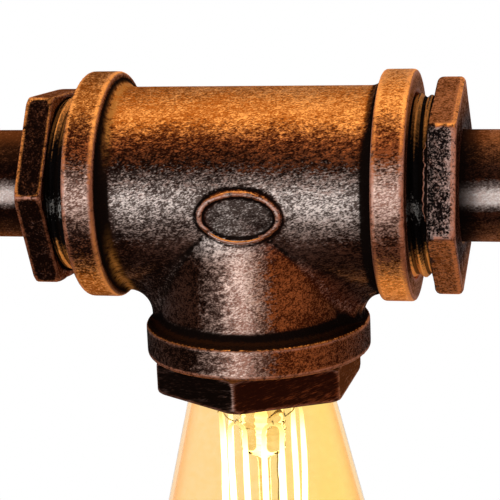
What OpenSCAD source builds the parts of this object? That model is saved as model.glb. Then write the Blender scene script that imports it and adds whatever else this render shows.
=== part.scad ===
// Pipe wall light: a cast tee carries one filament bulb and hangs on two pipe arms,
// which turn back to the wall through elbows, nipples and round wall flanges.
// Millimetres. X runs along the pipe, Y points into the wall, Z is up.
// The origin lies on the wall face, midway between the two flanges.

/* [Pipework] */
// Outside diameter of the half-inch pipe
pipe_od = 21.3; // [19:0.1:23]
// Wall thickness of the pipe
pipe_wall = 2.6; // [1.8:0.1:3.2]
// Distance from the lamp axis to the axis of each wall nipple
arm_reach = 170; // [130:1:260]
// Distance from the wall to the axis of the pipe run
wall_reach = 110; // [90:1:160]
// Radial clearance of every screwed joint
thread_gap = 0.05; // [0.03:0.01:0.08]

/* [Tee] */
// Centre of the tee to the end of each run band
tee_run = 32.1; // [29:0.1:38]
// Centre of the tee to the end of the lower band
tee_drop = 32.9; // [30:0.1:38]
// Outside diameter of the tee body
tee_body_od = 38.2; // [37:0.1:40]
// Wall thickness of the tee body
tee_wall = 2.9; // [2.4:0.1:3.2]
// Outside diameter of the end bands
band_od = 44.3; // [42:0.1:48]
// Width of the end bands
band_w = 6.2; // [5:0.1:7]
// Rounding of the band edges
band_edge_r = 0.5; // [0.3:0.1:1.2]
// Fillet between a band and the body
shoulder_r = 2.4; // [1.6:0.1:2.8]
// Radius of the concave arc in the two crotches under the run
crotch_r = 4.1; // [3:0.1:5]
// How far the web in each crotch stands off the body
web_rise = 2.4; // [1:0.1:2.8]
// Outside diameter of the thread that screws into the tee
thread_od = 35.2; // [34.6:0.1:36]
// Depth of the thread inside each end of the tee
thread_depth = 12; // [10:0.5:13]
// Length of the bare oval casting mark
mark_l = 15.8; // [10:0.2:20]
// Height of the bare oval casting mark
mark_h = 10; // [6:0.2:12]
// Width of the raised rim of the mark
mark_rim = 0.9; // [0.6:0.1:1.4]
// How far the rim stands off the body
mark_rise = 0.6; // [0.3:0.1:1]
// Place of the mark along the run, from the lamp axis
mark_x = 1.1; // [-4:0.1:4]
// Place of the mark up or down, from the axis of the run
mark_z = -2.1; // [-4:0.1:4]

/* [Bushings] */
// Width across flats of the side hexagons
hex_af = 36; // [35.5:0.1:40]
// Thickness of the side hexagons
hex_h = 5.2; // [4:0.1:7]
// How much is cut off the hexagon corners at each face
hex_chamfer = 0.7; // [0.3:0.1:1.2]
// Bare thread between the left hexagon and the tee
left_standoff = 4.5; // [2:0.1:6]
// Bare thread between the right hexagon and the tee
right_standoff = 3.7; // [2:0.1:6]
// Turn of the left hexagon about the run
left_hex_turn = -4.7; // [-30:0.1:30]
// Turn of the right hexagon about the run
right_hex_turn = 15.6; // [-30:0.1:30]
// Length of pipe held inside each side bushing
pipe_grip = 14; // [10:0.5:16]
// Axial play between the pipe end and the bushing
pipe_end_play = 0.3; // [0.2:0.05:0.5]
// Diameter of the wire way through a side bushing
wire_way_d = 15; // [12:0.2:16]
// Width across flats of the lamp hexagon
lamp_hex_af = 36.6; // [36:0.1:40]
// Thickness of the lamp hexagon
lamp_hex_h = 6.8; // [5:0.1:8]
// Bare thread between the lamp hexagon and the tee
lamp_standoff = 0.4; // [0.3:0.1:3]
// Turn of the lamp hexagon about the lamp axis
lamp_hex_turn = 27.2; // [0:0.1:60]

/* [Elbows] */
// Centre of the elbow to each end
elbow_reach = 28.5; // [27:0.1:34]
// Outside diameter of the elbow body
elbow_body_od = 26.6; // [26:0.1:28]
// Outside diameter of the elbow bands
elbow_band_od = 31; // [29.6:0.1:34]
// Width of the elbow bands
elbow_band_w = 6; // [5:0.1:7]
// Fillet between an elbow band and the body
elbow_shoulder_r = 1.7; // [1:0.1:2]
// Depth of the thread inside each end of an elbow
elbow_grip = 12; // [10:0.5:13]

/* [Flanges] */
// Diameter of the wall flange
flange_od = 80; // [72:1:100]
// Thickness of the flange plate
flange_t = 5.5; // [4:0.1:7]
// Height of the flange from the wall to the end of its hub
flange_h = 20; // [17:0.5:26]
// Outside diameter of the flange hub
flange_hub_od = 31; // [29.5:0.1:34]
// Fillet between the hub and the plate
flange_fillet_r = 7; // [4:0.5:9]
// Depth of the thread inside the hub
flange_grip = 15; // [11:0.5:15.5]
// Bolt circle of the screw holes
flange_pcd = 62; // [60:0.5:64]
// Diameter of the screw holes
flange_hole_d = 5.6; // [4.5:0.1:6.5]
// Diameter of the countersinks
flange_sink_d = 9.6; // [8:0.1:10.5]

/* [Lamp holder] */
// Inside diameter of the screw shell
shell_bore_d = 26.8; // [26.6:0.05:27]
// Thickness of the sheet brass
brass_t = 0.45; // [0.3:0.05:0.6]
// Outside diameter of the porcelain sleeve
sleeve_od = 31.4; // [31:0.1:31.6]
// Clearance around the porcelain
sleeve_gap = 0.25; // [0.15:0.05:0.4]
// Thickness of the clamped rim of the porcelain
holder_rim_t = 1.6; // [1.2:0.1:2.2]
// How far the porcelain ends above the face of the lamp hexagon
holder_recess = 2.6; // [1:0.1:4]
// Thickness of the porcelain base
holder_base_t = 8; // [6:0.5:9]
// Offset of the two terminals from the lamp axis
terminal_x = 8.5; // [8:0.1:9]
// Diameter of the terminal screws
terminal_screw_d = 3; // [2.5:0.1:3.2]

/* [Bulb] */
// Largest diameter of the glass
bulb_d = 64; // [56:0.5:70]
// Length of the bulb from its contact to its tip
bulb_l = 141; // [130:0.5:150]
// Thickness of the glass
glass_t = 0.8; // [0.6:0.1:1.2]
// Diameter of the glass where it leaves the cap
neck_d = 27; // [26.4:0.1:27.2]
// Half angle of the glass cone
neck_angle = 13; // [12:0.25:14.5]
// Outside diameter of the screw cap
cap_d = 26.2; // [26:0.05:26.3]
// Length of the screw cap with its contact
cap_l = 25; // [23:0.5:27]
// Pitch of the screw cap
cap_pitch = 3.629; // [3.5:0.001:3.7]
// Gap between the bulb's contact and the spring tongue
contact_gap = 0.3; // [0.2:0.05:0.5]
// Diameter of the filament cage
cage_d = 16.6; // [12:0.2:18]
// Length of the filament cage
cage_l = 62; // [50:1:66]
// Number of filament strands
strands = 14; // [8:2:18]
// Diameter of a filament strand
strand_d = 0.5; // [0.4:0.05:0.8]

/* [Wiring] */
// Diameter of the supply cable
cable_d = 6.2; // [5:0.1:7]
// Radius of the cable's bend inside the elbow
cable_bend_r = 22; // [20:0.5:24]
// Diameter of one insulated core
core_d = 2.2; // [1.8:0.1:2.4]
// Length of each rubber grommet
grommet_l = 6; // [4:0.5:8]
// Clearance of the rubber grommets
grommet_gap = 0.05; // [0.03:0.01:0.1]

/* [Hidden] */
$fn = 96;

// Pipework
pipe_r = pipe_od / 2;
pipe_ir = pipe_r - pipe_wall;
socket_r = pipe_r + thread_gap;

// Tee
body_r = tee_body_od / 2;
bore_r = body_r - tee_wall;
band_r = band_od / 2;
thread_r = thread_od / 2;
tap_r = thread_r + thread_gap;
bury = 0.15;
web_edge = 0.93;
web_end = min(body_r + web_rise + crotch_r, tee_run - band_w - 0.3, tee_drop - band_w - 0.3);
run_tail = tee_run - band_w + 0.5 - web_end;
drop_tail = tee_drop - band_w + 0.5 - web_end;

// Bushings: distances from the lamp axis along the run
left_hex_in = tee_run + left_standoff;
left_hex_out = left_hex_in + hex_h;
right_hex_in = tee_run + right_standoff;
right_hex_out = right_hex_in + hex_h;
bushing_in = tee_run - thread_depth + 1;
left_pipe_end = left_hex_out - pipe_grip;
right_pipe_end = right_hex_out - pipe_grip;
wire_way_r = wire_way_d / 2;

// Lamp bushing and holder: heights below the run
lamp_hex_top = -tee_drop - lamp_standoff;
lamp_hex_face = lamp_hex_top - lamp_hex_h;
tap_end = -tee_drop + thread_depth;
rim_low = tap_end - holder_rim_t;
sleeve_r = sleeve_od / 2;
holder_low = lamp_hex_face + holder_recess;
shell_r = shell_bore_d / 2;
shell_or = shell_r + brass_t;
cup_r = shell_or + thread_gap;

// Bulb: heights below the run
cap_low = holder_low + 0.5;
tip_top = cap_low + cap_l;
tongue_low = tip_top + contact_gap;
cup_top = tongue_low + 1.3;
base_top = cup_top + holder_base_t;
glass_tip = tip_top - bulb_l;
neck_r = neck_d / 2;
bulb_r = bulb_d / 2;
cap_r = cap_d / 2;

// Wiring
cable_r = cable_d / 2;
cable_split = right_pipe_end;
cable_clear = 0.4;
core_r = core_d / 2;

// Points of an arc about (cx, cy), from angle a0 to a1 in n steps
function arc(cx, cy, r, a0, a1, n = 6) =
    [for (i = [0:n]) let (a = a0 + (a1 - a0) * i / n) [cx + r * cos(a), cy + r * sin(a)]];

// Points in reverse order
function reversed(p) = [for (i = [len(p) - 1:-1:0]) p[i]];

// Outline of a banded end, as [radius, distance from the fitting's centre]
function banded_end(end, body, band, width, edge, shoulder) = concat(
    arc(body + shoulder, end - width - shoulder, shoulder, 180, 90, 6),
    arc(band - edge, end - width + edge, edge, -90, 0, 3),
    arc(band - edge, end - edge, edge, 0, 90, 3)
);

module at_run() {
    translate([0, -wall_reach, 0]) children();
}

// Turns a revolved shape's axis from Z to X
module along_x() {
    rotate([0, 90, 0]) children();
}

// Turns a revolved shape's axis from Z to the direction away from the wall
module out_of_wall() {
    rotate([90, 0, 0]) children();
}

module ring(r_out, r_in, z_low, z_high) {
    difference() {
        translate([0, 0, z_low]) cylinder(r = r_out, h = z_high - z_low);
        translate([0, 0, z_low - 1]) cylinder(r = r_in, h = z_high - z_low + 2);
    }
}

// Hexagonal prism with its corners cut at both faces, a corner at turn degrees
module hex_prism(af, z_low, height, turn) {
    corner = af / 2 / cos(30);
    clear = 0.05;
    rise = (hex_chamfer + clear) * tan(30);
    translate([0, 0, z_low]) intersection() {
        rotate([0, 0, turn]) cylinder(r = corner, h = height, $fn = 6);
        rotate_extrude() polygon([
            [0, 0], [corner - hex_chamfer, 0], [corner + clear, rise],
            [corner + clear, height - rise], [corner - hex_chamfer, height], [0, height]
        ]);
    }
}

// Closed tube swept along points, as one polyhedron
function unit(v) = v / norm(v);
function tangent(p, i) = unit(p[min(i + 1, len(p) - 1)] - p[max(i - 1, 0)]);
function side_of(t, hint) = unit(hint - (hint * t) * t);
function sides(p, i = 0, hint = [0.3, 0.5, 0.8]) =
    i >= len(p) ? [] :
    let (s = side_of(tangent(p, i), hint)) concat([s], sides(p, i + 1, s));
module swept(p, r, n = 8) {
    s = sides(p);
    points = [for (i = [0:len(p) - 1]) let (t = tangent(p, i), u = s[i], v = cross(t, u))
        for (k = [0:n - 1]) let (a = 360 * k / n) p[i] + r * (cos(a) * u + sin(a) * v)];
    last = (len(p) - 1) * n;
    faces = concat(
        [for (i = [0:len(p) - 2]) for (k = [0:n - 1]) let (a = i * n + k, b = i * n + (k + 1) % n)
            each [[a, a + n, b], [b, a + n, b + n]]],
        [for (k = [1:n - 2]) [0, k, k + 1]],
        [for (k = [1:n - 2]) [last, last + k + 1, last + k]]
    );
    polyhedron(points = points, faces = faces);
}

// Points on a smooth curve through p
function spline_at(a, b, c, d, t) =
    0.5 * (2 * b + (c - a) * t + (2 * a - 5 * b + 4 * c - d) * t * t + (3 * b - a - 3 * c + d) * t * t * t);
function smooth(p, n = 4) = concat(
    [for (i = [0:len(p) - 2]) for (k = [0:n - 1])
        spline_at(p[max(i - 1, 0)], p[i], p[i + 1], p[min(i + 2, len(p) - 1)], k / n)],
    [p[len(p) - 1]]
);

// Tee

module tee_skin_run() {
    end = banded_end(tee_run, body_r, band_r, band_w, band_edge_r, shoulder_r);
    mirrored = [for (p = reversed(end)) [p[0], -p[1]]];
    along_x() rotate_extrude() polygon(concat([[0, -tee_run]], mirrored, end, [[0, tee_run]]));
}

module tee_skin_drop() {
    end = banded_end(tee_drop, body_r, band_r, band_w, band_edge_r, shoulder_r);
    mirror([0, 0, 1]) rotate_extrude() polygon(concat([[0, 0], [body_r, 0]], end, [[0, tee_drop]]));
}

// Section of a crotch, where s is the half chord of the two equal cylinders over their radius.
// Near the middle a web stands off the body and bends from band to band. Outside web_edge a plain
// fillet goes on, which dies out towards the front and the back.
function crotch_section(s, turns) =
    let (
        c = body_r * s - bury,
        w = web_rise * max(0, (s - web_edge) / (1 - web_edge)),
        q = s > web_edge ? web_end - body_r * s : (web_end - body_r * web_edge) * pow(s / web_edge, 2.5)
    )
    concat(
        [[c + q + run_tail, c + w]],
        arc(c + q, c + q, q - w, 270, 180, turns),
        [[c + w, c + q + drop_tail], [0.86 * c, 0.86 * c]]
    );
module crotch_fillet(side) {
    lean = 10;
    steps = 24;
    turns = 7;
    sections = [for (i = [0:steps]) let (a = lean + (180 - 2 * lean) * i / steps)
        [body_r * cos(a), crotch_section(sin(a), turns)]];
    n = len(sections[0][1]);
    points = [for (q = sections) for (p = q[1]) [side * p[0], -q[0], -p[1]]];
    last = steps * n;
    faces = concat(
        [for (i = [0:steps - 1]) for (k = [0:n - 1]) let (a = i * n + k, b = i * n + (k + 1) % n)
            each [[a, b, a + n], [b, b + n, a + n]]],
        [for (k = [0:n - 3]) [n - 1, k + 1, k]],
        [for (k = [0:n - 3]) [last + n - 1, last + k, last + k + 1]]
    );
    polyhedron(points = points, faces = side < 0 ? faces : [for (f = faces) reversed(f)]);
}

// Outline of an oval
function oval(l, h, n = 40) = [for (i = [0:n - 1]) [l / 2 * cos(360 * i / n), h / 2 * sin(360 * i / n)]];

// Bare oval rim on the front of the body
module casting_mark() {
    depth = 3;
    intersection() {
        translate([mark_x, -bore_r - tee_wall / 2, mark_z]) out_of_wall()
            linear_extrude(depth * 2) difference() {
                polygon(oval(mark_l, mark_h));
                polygon(oval(mark_l - 2 * mark_rim, mark_h - 2 * mark_rim));
            }
        along_x() translate([0, 0, mark_x - mark_l]) cylinder(r = body_r + mark_rise, h = 2 * mark_l);
    }
}

module tee() {
    color("saddlebrown") at_run() difference() {
        union() {
            tee_skin_run();
            tee_skin_drop();
            crotch_fillet(1);
            crotch_fillet(-1);
            casting_mark();
        }
        along_x() translate([0, 0, -tee_run - 1]) cylinder(r = bore_r, h = 2 * tee_run + 2);
        translate([0, 0, -tee_drop - 1]) cylinder(r = bore_r, h = tee_drop + 1);
        for (s = [-1, 1]) rotate([0, 90 * s, 0])
            translate([0, 0, tee_run - thread_depth]) cylinder(r = tap_r, h = thread_depth + 1);
        translate([0, 0, -tee_drop - 1]) cylinder(r = tap_r, h = thread_depth + 1);
    }
}

// Bushings

// Reducing bushing about +Z: thread towards the tee, hexagon away from it, pipe socket inside
module side_bushing(hex_in, pipe_end, turn) {
    hex_out = hex_in + hex_h;
    seat = pipe_end - pipe_end_play;
    difference() {
        union() {
            translate([0, 0, bushing_in]) cylinder(r = thread_r, h = hex_in - bushing_in + 0.5);
            hex_prism(hex_af, hex_in, hex_h, turn);
        }
        translate([0, 0, bushing_in - 1]) cylinder(r = wire_way_r, h = seat - bushing_in + 2);
        translate([0, 0, seat]) cylinder(r = socket_r, h = hex_out - seat + 1);
    }
}

module left_bushing() {
    color("sienna") at_run() rotate([0, -90, 0])
        side_bushing(left_hex_in, left_pipe_end, 90 - left_hex_turn);
}

module right_bushing() {
    color("sienna") at_run() rotate([0, 90, 0])
        side_bushing(right_hex_in, right_pipe_end, 90 + right_hex_turn);
}

module lamp_bushing() {
    top = rim_low;
    color("sienna") at_run() difference() {
        union() {
            translate([0, 0, lamp_hex_top - 0.5]) cylinder(r = thread_r, h = top - lamp_hex_top + 0.5);
            hex_prism(lamp_hex_af, lamp_hex_face, lamp_hex_h, lamp_hex_turn);
        }
        translate([0, 0, lamp_hex_face - 1])
            cylinder(r = sleeve_r + sleeve_gap, h = top - lamp_hex_face + 2);
    }
}

// Arms

module arm_pipe(start) {
    ring(pipe_r, pipe_ir, start, arm_reach - elbow_reach + elbow_grip);
}

module left_arm_pipe() {
    color("dimgray") at_run() rotate([0, -90, 0]) arm_pipe(left_pipe_end);
}

module right_arm_pipe() {
    color("dimgray") at_run() rotate([0, 90, 0]) arm_pipe(right_pipe_end);
}

// Elbow from +Z to +X, centred where its two axes cross
module elbow() {
    bend_r = elbow_reach - elbow_grip;
    e_r = elbow_body_od / 2;
    e_end = banded_end(elbow_reach, e_r, elbow_band_od / 2, elbow_band_w, band_edge_r, elbow_shoulder_r);
    difference() {
        union() {
            for (a = [0, 90]) rotate([0, a, 0]) rotate_extrude()
                polygon(concat([[0, bend_r], [e_r, bend_r]], e_end, [[0, elbow_reach]]));
            elbow_bend(bend_r, e_r);
        }
        for (a = [0, 90]) rotate([0, a, 0]) translate([0, 0, bend_r])
            cylinder(r = socket_r, h = elbow_grip + 1);
        elbow_bend(bend_r, pipe_ir);
    }
}

module elbow_bend(bend_r, r) {
    translate([bend_r, 0, bend_r]) rotate([90, 0, 0])
        rotate([0, 0, 180]) rotate_extrude(angle = 90) translate([bend_r, 0]) circle(r = r);
}

module left_elbow() {
    color("saddlebrown") at_run() translate([-arm_reach, 0, 0]) rotate([-90, 0, 0]) elbow();
}

module right_elbow() {
    color("saddlebrown") at_run() translate([arm_reach, 0, 0])
        mirror([1, 0, 0]) rotate([-90, 0, 0]) elbow();
}

module wall_nipple() {
    start = flange_h - flange_grip;
    out_of_wall() ring(pipe_r, pipe_ir, start, wall_reach - elbow_reach + elbow_grip);
}

module left_wall_nipple() {
    color("dimgray") translate([-arm_reach, 0, 0]) wall_nipple();
}

module right_wall_nipple() {
    color("dimgray") translate([arm_reach, 0, 0]) wall_nipple();
}

// Round wall flange with a threaded hub and four countersunk holes
module flange() {
    hub_r = flange_hub_od / 2;
    rim_r = flange_od / 2;
    foot = hub_r + flange_fillet_r;
    sink = (flange_sink_d - flange_hole_d) / 2;
    out_of_wall() difference() {
        rotate_extrude() polygon(concat(
            [[0, 0], [rim_r - 0.4, 0]],
            arc(rim_r - 2, flange_t - 2, 2, 0, 90, 5),
            arc(foot, flange_t + flange_fillet_r, flange_fillet_r, 270, 180, 8),
            arc(hub_r - band_edge_r, flange_h - band_edge_r, band_edge_r, 0, 90, 3),
            [[0, flange_h]]
        ));
        translate([0, 0, flange_h - flange_grip]) cylinder(r = socket_r, h = flange_grip + 1);
        translate([0, 0, -1]) cylinder(r = pipe_ir, h = flange_h);
        for (a = [45:90:315]) rotate([0, 0, a]) translate([flange_pcd / 2, 0, -1]) {
            cylinder(d = flange_hole_d, h = flange_t + 2);
            translate([0, 0, 1 + flange_t - sink])
                cylinder(d1 = flange_hole_d, d2 = flange_sink_d + 2, h = sink + 1);
        }
    }
}

module left_flange() {
    color("saddlebrown") translate([-arm_reach, 0, 0]) flange();
}

module right_flange() {
    color("saddlebrown") translate([arm_reach, 0, 0]) flange();
}

// Lamp holder

module holder_body() {
    screw_r = terminal_screw_d / 2 + thread_gap;
    color("ivory") at_run() difference() {
        union() {
            translate([0, 0, holder_low]) cylinder(r = sleeve_r, h = base_top - holder_low);
            translate([0, 0, rim_low]) cylinder(r = thread_r - sleeve_gap, h = holder_rim_t);
        }
        translate([0, 0, holder_low - 1]) cylinder(r = cup_r, h = cup_top - holder_low + 1);
        for (s = [-1, 1]) translate([s * terminal_x, 0, cup_top - 1])
            cylinder(r = screw_r, h = holder_base_t + 2);
    }
}

// Screw shell with one tab under the porcelain base
module holder_shell() {
    screw_r = terminal_screw_d / 2 + thread_gap;
    tab_w = 8;
    low = holder_low + 1;
    color("goldenrod") at_run() difference() {
        union() {
            ring(shell_or, shell_r, low, cup_top);
            intersection() {
                translate([0, 0, cup_top - brass_t]) cylinder(r = shell_or, h = brass_t);
                translate([-shell_or, -tab_w / 2, cup_top - 2]) cube([shell_or - terminal_x + 4, tab_w, 3]);
            }
        }
        translate([-terminal_x, 0, cup_top - 1]) cylinder(r = screw_r, h = 2);
    }
}

// Spring tongue that presses on the bulb's contact
module holder_tongue() {
    screw_r = terminal_screw_d / 2 + thread_gap;
    t = brass_t;
    w = 6;
    far = terminal_x + 3;
    color("goldenrod") at_run() difference() {
        translate([0, w / 2, 0]) out_of_wall() linear_extrude(w) polygon([
            [far, cup_top], [far, cup_top - t], [terminal_x - 3, cup_top - t], [1.5, tongue_low],
            [-1.5, tongue_low], [-2.6, tongue_low + t], [-2, tongue_low + t * 1.5],
            [-1.2, tongue_low + t], [1.5, tongue_low + t], [terminal_x - 3, cup_top]
        ]);
        translate([terminal_x, 0, cup_top - 2]) cylinder(r = screw_r, h = 3);
    }
}

// Terminal plate on top of the porcelain base, with an upturned ear
module terminal(side) {
    screw_r = terminal_screw_d / 2 + thread_gap;
    plate_l = 8;
    plate_w = 7.6;
    plate_t = 1;
    ear_h = 3;
    translate([side * terminal_x, 0, base_top]) difference() {
        union() {
            translate([-plate_l / 2, -plate_w / 2, 0]) cube([plate_l, plate_w, plate_t]);
            translate([-plate_l / 2, plate_w / 2 - plate_t, 0]) cube([plate_l, plate_t, ear_h]);
        }
        translate([0, 0, -1]) cylinder(r = screw_r, h = plate_t + 2);
    }
}

module live_terminal() {
    color("gold") at_run() terminal(1);
}

module neutral_terminal() {
    color("gold") at_run() terminal(-1);
}

// Two cheese-head screws that tie the terminals to the tongue and to the shell
module terminal_screws() {
    plate_t = 1;
    head_r = 2.6;
    head_h = 1.8;
    slot_w = 0.6;
    head_z = base_top + plate_t;
    color("silver") at_run() for (s = [-1, 1]) translate([s * terminal_x, 0, 0]) difference() {
        union() {
            translate([0, 0, cup_top - brass_t])
                cylinder(d = terminal_screw_d, h = head_z - cup_top + brass_t);
            translate([0, 0, head_z]) cylinder(r = head_r, h = head_h);
        }
        translate([-head_r - 1, -slot_w / 2, head_z + head_h * 0.55])
            cube([2 * head_r + 2, slot_w, head_h]);
    }
}

// Wiring

// One core from the end of the cable's sheath down to the front of a terminal screw
function bezier_at(a, b, c, d, t) =
    a * pow(1 - t, 3) + 3 * b * pow(1 - t, 2) * t + 3 * c * (1 - t) * t * t + d * pow(t, 3);
module core_lead(side) {
    head_r = 2.6;
    front = -head_r - core_r - 0.1;
    lead_z = base_top + 1 + core_r + 0.05;
    start_y = side > 0 ? -core_r * 1.1 : core_r * 0.55;
    start_z = side > 0 ? -core_r * 0.3 : core_r * 1.4;
    start = [tail_start - 0.05, start_y, start_z];
    bend = start - [1.4, 0, 0];
    stop = [side * terminal_x + (side > 0 ? 1 : 2.5), front, lead_z];
    end = [side * terminal_x - 2.5, front, lead_z];
    pull = [(bend[0] - stop[0]) * 0.4, 0, 0];
    lift = [0, 0, side > 0 ? 0.3 : 5.5];
    turns = 10;
    swept(concat(
        [start],
        [for (i = [0:turns]) bezier_at(bend, bend - pull + lift, stop + pull + lift, stop, i / turns)],
        [end]
    ), core_r);
}

module live_lead() {
    color("brown") at_run() core_lead(1);
}

module neutral_lead() {
    color("royalblue") at_run() core_lead(-1);
}

tail_start = sleeve_r + cable_clear;

module cable_tail() {
    color("dimgray") at_run() along_x() translate([0, 0, tail_start])
        cylinder(r = cable_r, h = cable_split - tail_start);
}

// Cable through the right arm, round its elbow and back to the wall
module supply_cable() {
    bend_x = arm_reach - cable_bend_r;
    color("dimgray") {
        at_run() along_x() translate([0, 0, cable_split + pipe_end_play])
            cylinder(r = cable_r, h = bend_x - cable_split - pipe_end_play);
        translate([bend_x, cable_bend_r - wall_reach, 0]) rotate([0, 0, -90])
            rotate_extrude(angle = 90) translate([cable_bend_r, 0]) circle(r = cable_r);
        translate([arm_reach, 0, 0]) out_of_wall() cylinder(r = cable_r, h = wall_reach - cable_bend_r);
    }
}

module grommet(z_low) {
    ring(pipe_ir - grommet_gap, cable_r + grommet_gap, z_low, z_low + grommet_l);
}

module arm_grommet() {
    color("black") at_run() along_x() grommet(right_pipe_end + 1);
}

module entry_grommet() {
    color("black") translate([arm_reach, 0, 0]) out_of_wall() grommet(0);
}

// Bulb

insulator_top = tip_top - 1.2;
insulator_low = insulator_top - 3;
contact_r = 4.6;
rim_gap = 0.1;

// Solder contact at the end of the cap
module bulb_contact() {
    color("silver") at_run() rotate_extrude() polygon(concat(
        [[0, insulator_top], [contact_r, insulator_top]],
        [for (i = [1:5]) let (a = 90 * i / 5) [contact_r * cos(a), insulator_top + 1.2 * sin(a)]]
    ));
}

// Black glass ring between the contact and the cap
module bulb_insulator() {
    low_r = cap_r - 2.2;
    color("black") at_run() rotate_extrude() polygon([
        [0, insulator_low], [low_r, insulator_low], [low_r, insulator_low + 0.8],
        [contact_r + 1, insulator_top], [0, insulator_top]
    ]);
}

// Sheet brass screw cap, open at its lower end and rolled in at the top
module bulb_cap() {
    top = insulator_low + 0.8;
    inner = cap_r - brass_t;
    lip = cap_r - 2.2 + rim_gap;
    color("goldenrod") at_run() rotate_extrude() polygon(concat(
        [[inner, cap_low], [cap_r, cap_low]],
        arc(cap_r - 1, top - 1, 1, 0, 90, 4),
        [[lip, top], [lip, top - brass_t]],
        arc(inner - 0.6, top - brass_t - 0.6, 0.6, 90, 0, 3)
    ));
}

// Outline of the glass from its neck to its tip, moved in by inset
glass_seat = 9;
seat_r = cap_r - brass_t - thread_gap;
belly_r = 60;
belly_drop = belly_r * sin(neck_angle);
cone_r = bulb_r - belly_r * (1 - cos(neck_angle));
cone_drop = (cone_r - neck_r) / tan(neck_angle);
belly_z = cap_low - cone_drop - belly_drop;
dome_h = belly_z - glass_tip;
dome_power = 2.15;
function glass_outline(inset) = concat(
    [[seat_r - inset, cap_low + glass_seat], [seat_r - inset, cap_low - 0.2],
     [neck_r - inset, cap_low - 1.3]],
    [for (i = [0:6]) let (a = neck_angle * (1 - i / 6))
        [bulb_r - inset - belly_r * (1 - cos(a)), belly_z + belly_r * sin(a)]],
    [for (i = [1:14]) let (t = 90 * i / 14, r = pow(cos(t), 2 / dome_power), h = pow(sin(t), 2 / dome_power))
        [(bulb_r - inset) * (i == 14 ? 0 : r), belly_z - (dome_h - inset) * h]]
);
module bulb_glass() {
    seat = cap_low + glass_seat;
    color("wheat") at_run() difference() {
        rotate_extrude() polygon(concat(glass_outline(0), [[0, seat]]));
        rotate_extrude() polygon(concat(glass_outline(glass_t), [[0, seat]]));
    }
}

// Glass mount: a flare sealed in the neck, a tube, a pinched seal and a rod through the cage
stem_top = cap_low + glass_seat - 1;
pinch_z = cap_low - 18;
stem_tube_r = 4.6;
turn_h = 2;
top_hooks = pinch_z + 6.5;
cage_top = top_hooks + turn_h;
strand_end = cage_top - 24;
rod_r = 1.3;
rod_low = cage_top - cage_l + turn_h;
module bulb_stem() {
    flare_r = seat_r - glass_t - thread_gap;
    tube_r = stem_tube_r;
    flare_h = 9;
    color("whitesmoke") at_run() rotate_extrude() polygon(concat(
        [[0, stem_top], [flare_r, stem_top]],
        arc(flare_r, stem_top - flare_h, flare_r - tube_r, 90, 180, 6),
        arc(tube_r - 1.6, pinch_z + 1.6, 1.6, 0, -60, 3),
        [[rod_r, pinch_z - 2.4]],
        arc(0, rod_low, rod_r * 1.5, 40, -90, 6)
    ));
}

// Two rings of hooks that hold the strands: straight wires from the glass rod
module hook_star(z, count, root, first) {
    hook_r = 0.2;
    start = root + 0.05;
    for (k = [0:count - 1]) rotate([0, 0, 360 * (first + 2 * k) / strands])
        translate([start, 0, z]) rotate([0, 90, 0])
            cylinder(r = hook_r, h = cage_d / 2 - start - strand_d / 2 - 0.05, $fn = 16);
}
module bulb_supports() {
    color("silver") at_run() {
        hook_star(top_hooks, strands / 2 - 1, stem_tube_r, 1.5);
        hook_star(rod_low, strands / 2, rod_r * 1.5, 0.5);
    }
}

// Two lead wires from the pinched seal down to the ends of the strand
module bulb_leads() {
    wire_r = 0.25;
    reach = 3.4;
    color("gray") at_run() for (k = [0, strands - 1]) rotate([0, 0, 360 * k / strands]) swept(smooth([
        [reach, 0, pinch_z - 0.6], [reach, 0, strand_end + 4], [reach + 1.2, 0, strand_end + 1.4],
        [cage_d / 2 - strand_d - wire_r, 0, strand_end - 0.5]
    ], 3), wire_r, 6);
}

// One unbroken strand that runs up and down the cage, with a round turn at each hook
module bulb_filament() {
    step = 360 / strands;
    r = cage_d / 2;
    low = cage_top - cage_l;
    bends = 4;
    rise = cage_l - turn_h;
    strand = [for (k = [0:strands - 1]) let (up = k % 2 == 1, a0 = k * step) concat(
        [[a0, up ? turn_h : rise, 0], [a0, up ? rise : turn_h, 0]],
        [for (i = [1:bends - 1]) let (t = 180 * i / bends, bow = turn_h * sin(t))
            [a0 + step * (1 - cos(t)) / 2, up ? rise + bow : turn_h - bow, 0]]
    )];
    whole = [for (s = strand) each s];
    count = len(whole) - bends + 1;
    ends = strand_end - low;
    path = [for (i = [0:count - 1]) let (p = whole[i], h = i == 0 || i == count - 1 ? ends : p[1])
        [r * cos(p[0]), r * sin(p[0]), low + h]];
    color("orange") at_run() swept(path, strand_d / 2, 6);
}

tee();
left_bushing();
right_bushing();
lamp_bushing();
left_arm_pipe();
right_arm_pipe();
left_elbow();
right_elbow();
left_wall_nipple();
right_wall_nipple();
left_flange();
right_flange();
holder_body();
holder_shell();
holder_tongue();
live_terminal();
neutral_terminal();
terminal_screws();
live_lead();
neutral_lead();
cable_tail();
supply_cable();
arm_grommet();
entry_grommet();
bulb_contact();
bulb_insulator();
bulb_cap();
bulb_glass();
bulb_stem();
bulb_leads();
bulb_supports();
bulb_filament();
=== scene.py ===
# %% [markdown]
# A wall light made of iron pipe fittings, dressed in Blender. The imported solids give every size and
# every moving body. This script puts cast skins, threads, worn copper, glass and a lit filament on them.
# Shapes are in millimetres, as fittings are drawn, and MM turns them into metres. Places inside a finish
# are in metres, as a shader reads them.

# %% Load the frame
import math

import bmesh
import bpy
import numpy as np
from mathutils import Matrix, Vector


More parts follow.
